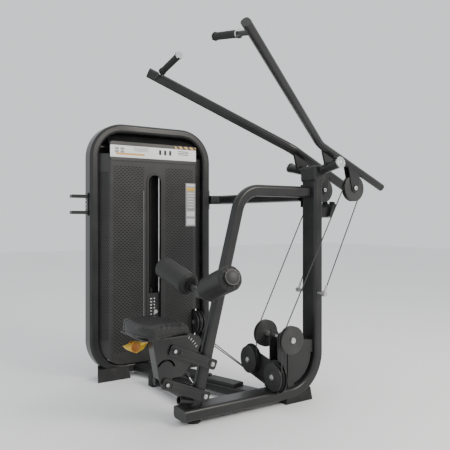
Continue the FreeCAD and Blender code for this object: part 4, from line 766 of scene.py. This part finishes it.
def make_perforations():
    """Dark discs of painted shade, standing for round holes, over the shroud's flat face and its two
    slanting sides.
    """
    low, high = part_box("front_shroud")
    placard_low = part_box("placard")[0]
    tree = grid_tree()
    chamfer = Vector((0.064, 0.045))
    flat = (low.x + chamfer.x, high.x - chamfer.x)
    stack = centre("head_plate").x
    bottom, top = low.z + 0.075, placard_low.z - 0.035
    row_gap = HOLE_PITCH * math.sin(math.radians(60.0))
    rows = int((top - bottom) / row_gap)
    width = flat[1] - flat[0] - 0.05
    columns = int(width / HOLE_PITCH)
    middle = Vector(((flat[0] + flat[1]) / 2, low.y - PROUD, (bottom + top) / 2))
    values = {"Width": columns * HOLE_PITCH, "Height": rows * row_gap, "Pitch": HOLE_PITCH,
              "Radius": 0.0036, "Columns": columns + 1, "Rows": rows + 1, "Finish": HOLE_SHADE,
              "Clear Left": stack - middle.x - 0.072, "Clear Right": stack - middle.x + 0.072}
    run_tree("shroud_perforations", tree, values, frame_on(middle, (0, -1, 0), (1, 0, 0)), "frame")
    side_top = 1.33
    for tag, x, way in (("left", low.x, -1), ("right", high.x, 1)):
        run = Vector((chamfer.x * -way, -chamfer.y, 0))
        outward = Vector((way * chamfer.y, -chamfer.x, 0)).normalized()
        start = Vector((x, low.y + chamfer.y, (bottom + side_top) / 2))
        spot = start + run * 0.5 + outward * PROUD
        columns = int(run.length * 0.72 / HOLE_PITCH)
        rows = int((side_top - 0.16 - bottom) / row_gap)
        values.update({"Width": columns * HOLE_PITCH, "Height": rows * row_gap, "Columns": columns + 1,
                       "Rows": rows + 1, "Clear Left": 9.0, "Clear Right": 9.0})
        across = run.normalized() * -way
        run_tree("shroud_%s_side_holes" % tag, tree, values, frame_on(spot, outward, across), "frame")
    back_low, back_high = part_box("rear_shroud")
    spot = Vector(((back_low.x + back_high.x) / 2, back_high.y + PROUD, 0.74))
    columns, rows = int(0.56 / HOLE_PITCH), int(1.1 / row_gap)
    values.update({"Width": columns * HOLE_PITCH, "Height": rows * row_gap, "Columns": columns + 1,
                   "Rows": rows + 1})
    run_tree("rear_shroud_perforations", tree, values, frame_on(spot, (0, 1, 0), (-1, 0, 0)), "frame")


def capsule(half_width, bottom, top, count=16):
    """Outline of an upright slot with round ends."""
    points = []
    for i in range(count + 1):
        a = math.pi * i / count
        points.append((half_width * math.cos(a), top - half_width + half_width * math.sin(a)))
    for i in range(count + 1):
        a = math.pi + math.pi * i / count
        points.append((half_width * math.cos(a), bottom + half_width + half_width * math.sin(a)))
    return points


def ring_prism(outer, inner, height, bevel):
    """Flat frame between two outlines with the same number of points."""
    work = bmesh.new()
    n = len(outer)
    layers = []
    for points, z in ((outer, 0.0), (outer, height - bevel), (outer, height),
                      (inner, height), (inner, 0.0)):
        layers.append([work.verts.new((x, y, z)) for x, y in points])
    layers.append(layers[0])
    for a, b in zip(layers, layers[1:]):
        for i in range(n):
            j = (i + 1) % n
            work.faces.new((a[i], a[j], b[j], b[i]))
    return work


def make_tower_trim():
    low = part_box("front_shroud")[0]
    stack = centre("head_plate").x
    half, bottom, top = 0.042, 0.150, 1.240         # the window in the shroud
    lip, label_x = 0.013, 0.4715
    bezel = ring_prism(capsule(half + lip, bottom - lip, top + lip),
                       capsule(half, bottom, top), 0.004, 0.001)
    bmesh.ops.transform(bezel, matrix=facing_front(stack, low.y, 0), verts=bezel.verts)
    new_piece("stack_window_bezel", mesh_of("stack_window_bezel", bezel), "frame", PLASTIC)
    seam = rounded_block(0.0022, 0.96, 0.0012, 0.0005)
    bmesh.ops.transform(seam, matrix=facing_front(stack - 0.075, low.y, 0.66), verts=seam.verts)
    new_piece("shroud_seam_strip", mesh_of("shroud_seam_strip", seam), "frame", LABEL_GREY)
    label = bmesh.new()
    add(label, prism([(-0.036, -0.14), (0.036, -0.14), (0.036, 0.14), (-0.036, 0.14)], 0.0016, 0.0006),
        facing_front(label_x, low.y, 1.057))
    new_piece("weight_label", mesh_of("weight_label", label), "frame", LABEL_GREY)
    bars = bmesh.new()
    for z, wide, tall in ((1.184, 0.058, 0.012), (1.132, 0.046, 0.006), (1.114, 0.050, 0.006),
                          (1.096, 0.044, 0.006), (1.078, 0.050, 0.006), (1.060, 0.046, 0.006),
                          (1.042, 0.050, 0.006), (0.998, 0.058, 0.034), (0.947, 0.058, 0.040)):
        add(bars, rounded_block(wide, tall, 0.0012, 0.0003),
            facing_front(label_x, low.y - 0.0014, z))
    new_piece("weight_label_bars", mesh_of("weight_label_bars", bars), "frame", WHITE_MARK)
    yellow = rounded_block(0.062, 0.020, 0.0014, 0.0003)
    bmesh.ops.transform(yellow, matrix=facing_front(label_x, low.y - 0.0014, 1.158), verts=yellow.verts)
    new_piece("weight_label_bands", mesh_of("weight_label_bands", yellow), "frame", LABEL_YELLOW)


def make_stack_marks():
    """Small plate numbers' fields on the front edges of the weight plates."""
    for node, count, body in (("resting_plates", 11, "frame"), ("lifted_plates", 5, "weight_carriage")):
        low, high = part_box(node)
        pitch = (high.z - low.z + 0.0005) / count
        marks = bmesh.new()
        for i in range(count):
            z = low.z + i * pitch + 0.0095
            for x, wide in ((-0.016, 0.013), (0.006, 0.009)):
                add(marks, rounded_block(wide, 0.008, 0.0006, 0.0002),
                    facing_front((low.x + high.x) / 2 + x, low.y, z))
        new_piece(node.replace("plates", "plate_marks"), mesh_of(node + "_marks", marks), body, WHITE_MARK)


def make_placard_print():
    """Plain blocks where a chart of movements would be printed."""
    low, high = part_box("placard")
    grey_blocks, dark_blocks = bmesh.new(), bmesh.new()

    def block(work, across, up, wide, tall):
        spot = facing_front(low.x + (high.x - low.x) * across, low.y, low.z + (high.z - low.z) * up)
        add(work, rounded_block(wide, tall, 0.0006, 0.0002), spot)

    for x in (0.07, 0.13):
        for z in (0.47, 0.62):
            block(grey_blocks, x, z, 0.024, 0.013)
    for i in range(4):
        block(grey_blocks, 0.34, 0.72 - i * 0.06, 0.11 - 0.02 * (i % 2), 0.0028)
    for x in (0.56, 0.62, 0.68):
        block(dark_blocks, x, 0.55, 0.016, 0.030)
    for i in range(3):
        block(dark_blocks, 0.84, 0.68 - 0.09 * i, 0.075, 0.004)
    new_piece("placard_grey_marks", mesh_of("placard_grey_marks", grey_blocks), "frame", LABEL_GREY)
    new_piece("placard_dark_marks", mesh_of("placard_dark_marks", dark_blocks), "frame", PLASTIC)


# ---------------------------------------------------------------- pulleys, bolts and discs
def dished_disc(radius, depth, ring_step=0.011):
    """Pulley side cover: shallow rings round a raised hub."""
    outline = [(0.0, 0.0), (radius, 0.0), (radius, depth * 0.5), (radius - 0.002, depth)]
    r = radius - 0.006
    while r > 0.026:
        outline += [(r, depth), (r - 0.0008, depth * 0.55), (r - 0.0026, depth * 0.55),
                    (r - 0.0034, depth)]
        r -= ring_step
    outline += [(0.021, depth), (0.019, depth * 1.7), (0.0, depth * 1.7)]
    return turned(outline, 56)


def cap_bolt(radius, height):
    """Domed socket screw."""
    socket = radius * 0.42
    return turned([(0.0, 0.0), (radius, 0.0), (radius, height * 0.45), (radius * 0.88, height * 0.8),
                   (radius * 0.62, height), (socket, height), (socket, height * 0.45),
                   (0.0, height * 0.4)], 28)


PULLEY_RADIUS = 0.072


def side_faces(node, axis):
    """Centres of a wheel's two flat faces, with their outward directions."""
    low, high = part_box(node)
    middle = (low + high) / 2
    faces = []
    for sign in (-1, 1):
        spot = middle.copy()
        spot[axis] = (low if sign < 0 else high)[axis]
        normal = Vector((0, 0, 0))
        normal[axis] = sign
        faces.append((spot, normal))
    return faces


def make_pulley_covers():
    for node, axis, body in (("right_arm_pulley", 1, "right_arm_pulley"),
                             ("left_arm_pulley", 1, "left_arm_pulley"),
                             ("right_guide_pulley", 0, "right_guide_pulley"),
                             ("left_guide_pulley", 0, "left_guide_pulley")):
        work = bmesh.new()
        for spot, normal in side_faces(node, axis):
            add(work, dished_disc(PULLEY_RADIUS - 0.003, 0.0011), frame_on(spot, normal))
        new_piece(node + "_faces", mesh_of(node + "_faces", work, 25.0), body, COVER)
    work = bmesh.new()
    low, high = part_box("upper_guide_pulleys")
    middle = (low + high) / 2
    for sign in (-1, 1):
        for y in (high.y, high.y - 0.024):
            way = sign if y == high.y else -sign
            add(work, dished_disc(PULLEY_RADIUS - 0.003, 0.0011),
                frame_on((middle.x, sign * y, middle.z), (0, way, 0)))
    new_piece("upper_guide_faces", mesh_of("upper_guide_faces", work, 25.0), "upper_guide_pulleys", COVER)


def make_bolt_heads():
    """Socket screws over the plain bolt ends, one piece for each body."""
    groups = {}

    def bolt(body, spot, normal, radius=0.010, height=0.006):
        work = groups.setdefault(body, bmesh.new())
        add(work, cap_bolt(radius, height), frame_on(spot, normal))

    guide = centre("upper_guide_pulleys")
    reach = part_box("upper_guide_pulleys")[1].y + 0.0064
    for sign in (-1, 1):
        bolt("frame", (guide.x, sign * reach, guide.z), (0, sign, 0), 0.0135, 0.005)
    for node in ("right_guide_pulley", "left_guide_pulley"):
        spot = centre(node)
        spot.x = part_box(node)[0].x - 0.0054
        bolt("frame", spot, (-1, 0, 0), 0.0135, 0.005)
    for side, sign in (("right", -1), ("left", 1)):
        spot = centre(side + "_arm_pulley")
        for way, r in ((1, 0.0125), (-1, 0.0115)):
            bolt(side + "_arm", (spot.x, sign * (0.122 + (0.0235 if way > 0 else -0.0245)), spot.z),
                 (0, sign * way, 0), r, 0.005)
        axis = pivot_axis(sign)
        bolt("frame", pivot_end(sign) + axis * 0.0094, axis, 0.0085, 0.004)
        bolt("frame", (0.738, sign * 0.116, 0.567), (0, sign, 0), 0.0095, 0.005)
    for body, pins in (("frame", COLUMN_PINS), ("seat", SEAT_PINS)):
        for x, z in pins:
            for sign in (-1, 1):
                bolt(body, (x, sign * 0.0474, z), (0, sign, 0), 0.0085, 0.0055)
    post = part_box("upper_crossbeam")
    for z in (1.046, 1.140):
        bolt("frame", (0.748, 0.0745, z), (0, 1, 0), 0.008, 0.005)
        bolt("frame", (post[0].x + 0.0180, 0.935, z), (1, 0, 0), 0.008, 0.005)
    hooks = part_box("accessory_hooks")
    for z in (1.030, 1.052, 1.078):
        bolt("frame", (hooks[1].x - 0.006, 0.935, z), (-1, 0, 0), 0.006, 0.004)
    for body, work in groups.items():
        new_piece(body + "_bolt_heads", mesh_of(body + "_bolt_heads", work, 30.0), body, ZINC)


def make_pivot_discs():
    """Polished cover discs on the arm pivots' ends."""
    work = bmesh.new()
    for sign in (-1, 1):
        axis = pivot_axis(sign)
        spot = pivot_end(sign) + axis * 0.0064
        disc = turned([(0.0, 0.0), (0.030, 0.0), (0.030, 0.0012), (0.0285, 0.0022), (0.024, 0.0022),
                       (0.0235, 0.0012), (0.020, 0.0012), (0.0195, 0.0022), (0.0, 0.0024)], 56)
        add(work, disc, frame_on(spot, axis))
    new_piece("pivot_cover_discs", mesh_of("pivot_cover_discs", work, 25.0), "frame", CHROME)


# ---------------------------------------------------------------- seat mechanism details
def link_rib(name, pin_a, pin_b, body):
    """Raised rib with a recessed panel along both outer faces of a link."""
    a, b = Vector((pin_a[0], 0, pin_a[1])), Vector((pin_b[0], 0, pin_b[1]))
    along = (b - a).normalized()
    length = (b - a).length - 0.050
    work = bmesh.new()
    for sign in (-1, 1):
        spot = (a + b) / 2 + Vector((0, sign * LINK_HALF, 0))
        place = frame_on(spot, (0, sign, 0), along)
        add(work, rounded_block(length, 0.030, 0.0028, 0.0012), place)
        add(work, rounded_block(length * 0.94, 0.009, 0.0052, 0.0018), place)
        for end in (a, b):
            ring = turned([(0.0125, 0.0), (0.0205, 0.0), (0.0205, 0.0018), (0.0190, 0.0030),
                           (0.0140, 0.0030), (0.0125, 0.0018)], 36)
            add(work, ring, frame_on(end + Vector((0, sign * LINK_HALF, 0)), (0, sign, 0)))
    new_piece(name, mesh_of(name, work, 30.0), body, COAT)


def make_seat_details():
    for body, seat_pin, column_pin in zip(("upper_link", "lower_link"), SEAT_PINS, COLUMN_PINS):
        link_rib(body + "_ribs", seat_pin, column_pin, body)
    # small white marks along an arc on the seat's side plate
    ticks = bmesh.new()
    hub = Vector((-0.136, 0.0, 0.290))
    for i in range(6):
        a = math.radians(30.0 + i * 5.5)
        spot = hub + Vector((math.cos(a) * 0.155, -0.0296, math.sin(a) * 0.155))
        outward = Vector((math.cos(a), 0, math.sin(a)))
        if spot.x < 0.0:
            add(ticks, rounded_block(0.012, 0.0022, 0.0006, 0.0002), frame_on(spot, (0, -1, 0), outward))
    new_piece("seat_arc_white_marks", mesh_of("seat_arc_white_marks", ticks), "seat", WHITE_MARK)
    knob = turned([(0.0, 0.0), (0.012, 0.0), (0.012, 0.010), (0.020, 0.014), (0.022, 0.020),
                   (0.022, 0.028), (0.019, 0.034), (0.0, 0.035)], 40)
    bmesh.ops.transform(knob, matrix=frame_on((0.069, 0.0230, 0.330), (0, 1, 0)), verts=knob.verts)
    new_piece("column_knob", mesh_of("column_knob", knob), "frame", PLASTIC)
    cup = bmesh.new()
    for y, way in ((0.1185, 1), (0.0830, -1)):
        disc = turned([(0.0, 0.0), (0.021, 0.0), (0.023, 0.003), (0.021, 0.006), (0.013, 0.004),
                       (0.0, 0.003)], 36)
        add(cup, disc, frame_on((-0.262, y, 0.372), (0, way, 0)))
    new_piece("lever_finger_cups", mesh_of("lever_finger_cups", cup), "adjust_lever", AMBER)
    cable = [(-0.170, 0.036, 0.410), (-0.150, 0.034, 0.380), (-0.148, 0.030, 0.340),
             (-0.140, 0.022, 0.310), (-0.112, 0.012, 0.300)]
    new_piece("lock_release_cable", tube_mesh("lock_release_cable", cable, 0.0022), "seat", ROPE)


# ---------------------------------------------------------------- post, stop and arm details
def make_stop_bumpers():
    work = bmesh.new()
    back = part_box("arm_stop_bracket")[1].x
    for y in (-0.028, 0.028):
        pad = turned([(0.0, 0.0), (0.016, 0.0), (0.0165, 0.004), (0.0145, 0.011), (0.0, 0.013)], 32)
        add(work, pad, frame_on((back - 0.012, y, 1.0495), (0.15, 0, 1)))
    new_piece("arm_stop_bumpers", mesh_of("arm_stop_bumpers", work), "frame", FOOT)


def make_grip_rings():
    """Moulded end flanges on the hand grips."""
    x, y, z = GRIP_END
    for side, sign in (("right", -1), ("left", 1)):
        inward = Vector((0, -sign * math.cos(PIVOT_LEAN), math.sin(PIVOT_LEAN)))
        hand = Vector((x, sign * y, z))
        work = bmesh.new()
        for distance in (0.008, 0.190):
            ring = turned([(0.0165, 0.0), (0.0195, 0.0005), (0.0200, 0.002), (0.0195, 0.0035),
                           (0.0165, 0.004)], 40)
            add(work, ring, frame_on(hand + inward * distance, inward))
        new_piece(side + "_grip_flanges", mesh_of(side + "_grip_flanges", work), side + "_arm", GRIP)


# ---------------------------------------------------------------- cables cut into parts where they meet moving bodies
def strand_part(name, source, keep, steps, body, bend=None):
    """Part of a cable's surface inside some planes, cut across at the given heights."""
    work = source.copy()
    for point, normal in keep:
        cut = bmesh.ops.bisect_plane(work, geom=work.verts[:] + work.edges[:] + work.faces[:],
                                     plane_co=point, plane_no=normal, clear_inner=True)
        rim = [e for e in cut["geom_cut"] if isinstance(e, bmesh.types.BMEdge)]
        bmesh.ops.holes_fill(work, edges=rim, sides=0)
    for z in steps:
        bmesh.ops.bisect_plane(work, geom=work.verts[:] + work.edges[:] + work.faces[:],
                               plane_co=(0, 0, z), plane_no=(0, 0, 1))
    mesh = mesh_of(name, work, 50.0)
    piece = bpy.data.objects.new(name, mesh)
    bpy.context.scene.collection.objects.link(piece)
    mesh.materials.clear()
    mesh.materials.append(ROPE)
    if bend:
        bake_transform(piece)
    else:
        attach(piece, body)
    return piece


def spread(low, high, count):
    return [low + (high - low) * i / count for i in range(1, count)]


def make_cables():
    """The arm cables and the stack cable, each parted where it starts to move with a body."""
    whole = merged_copy("arm_cables")
    yoke_low, yoke_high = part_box("cable_yoke")
    guide_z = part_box("upper_guide_pulleys")[1].z
    first = None
    for side, sign in (("right", -1), ("left", 1)):
        own = (((0, 0.0, 0), (0, sign, 0)),)
        arm = centre(side + "_arm_pulley")
        lower = Vector((0.62, arm.y, guide_z + 0.25))
        upper = own + (((0, 0, guide_z + 0.01), (0, 0, 1)), ((0, sign * 0.3, 0), (0, -sign, 0)))
        piece = strand_part(side + "_arm_cable_upper", whole, upper, spread(guide_z, arm.z - 0.03, 40),
                            None, ("frame", side + "_arm", arm + (lower - arm) * 0.55,
                                   arm + (lower - arm) * 0.08))
        first = first or piece
    low_part = (((0, 0, guide_z + 0.01), (0, 0, -1)), ((0, 0.915, 0), (0, -1, 0)))
    strand_part("arm_cables_lower", whole, low_part, (), "frame")
    rise = (((0, 0.915, 0), (0, 1, 0)),)
    strand_part("arm_cables_rise", whole, rise, spread(0.30, yoke_low.z - 0.005, 20), None,
                ("frame", "cable_yoke", (0, 0.934, 0.30), (0, 0.934, yoke_low.z - 0.002)))
    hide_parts("arm_cables")
    whole.free()
    stack = merged_copy("stack_cable")
    top = centre("top_pulley_inner").z
    over = strand_part("stack_cable_over", stack, (((0, 0, top - 0.02), (0, 0, 1)),), (), "frame")
    middle = (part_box("top_pulley_inner")[1].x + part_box("top_pulley_outer")[0].x) / 2
    below = ((0, 0, top - 0.02), (0, 0, -1))
    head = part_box("head_plate")[1].z
    strand_part("stack_cable_head_side", stack, (below, ((middle, 0, 0), (-1, 0, 0))),
                spread(head, top, 16), None,
                ("frame", "weight_carriage", (0, 0, top - 0.02), (0, 0, head + 0.002)))
    strand_part("stack_cable_yoke_side", stack, (below, ((middle, 0, 0), (1, 0, 0))),
                spread(yoke_high.z, top, 12), None,
                ("frame", "cable_yoke", (0, 0, top - 0.02), (0, 0, yoke_high.z + 0.002)))
    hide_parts("stack_cable")
    stack.free()


paint_frame()
set_stage()
set_camera()
make_seat_pad()
for roller_sign, roller_side in ((-1, "right"), (1, "left")):
    make_roller(roller_sign, roller_side)
make_perforations()
make_tower_trim()
make_stack_marks()
make_placard_print()
make_pulley_covers()
make_bolt_heads()
make_pivot_discs()
make_seat_details()
make_stop_bumpers()
make_grip_rings()
make_cables()
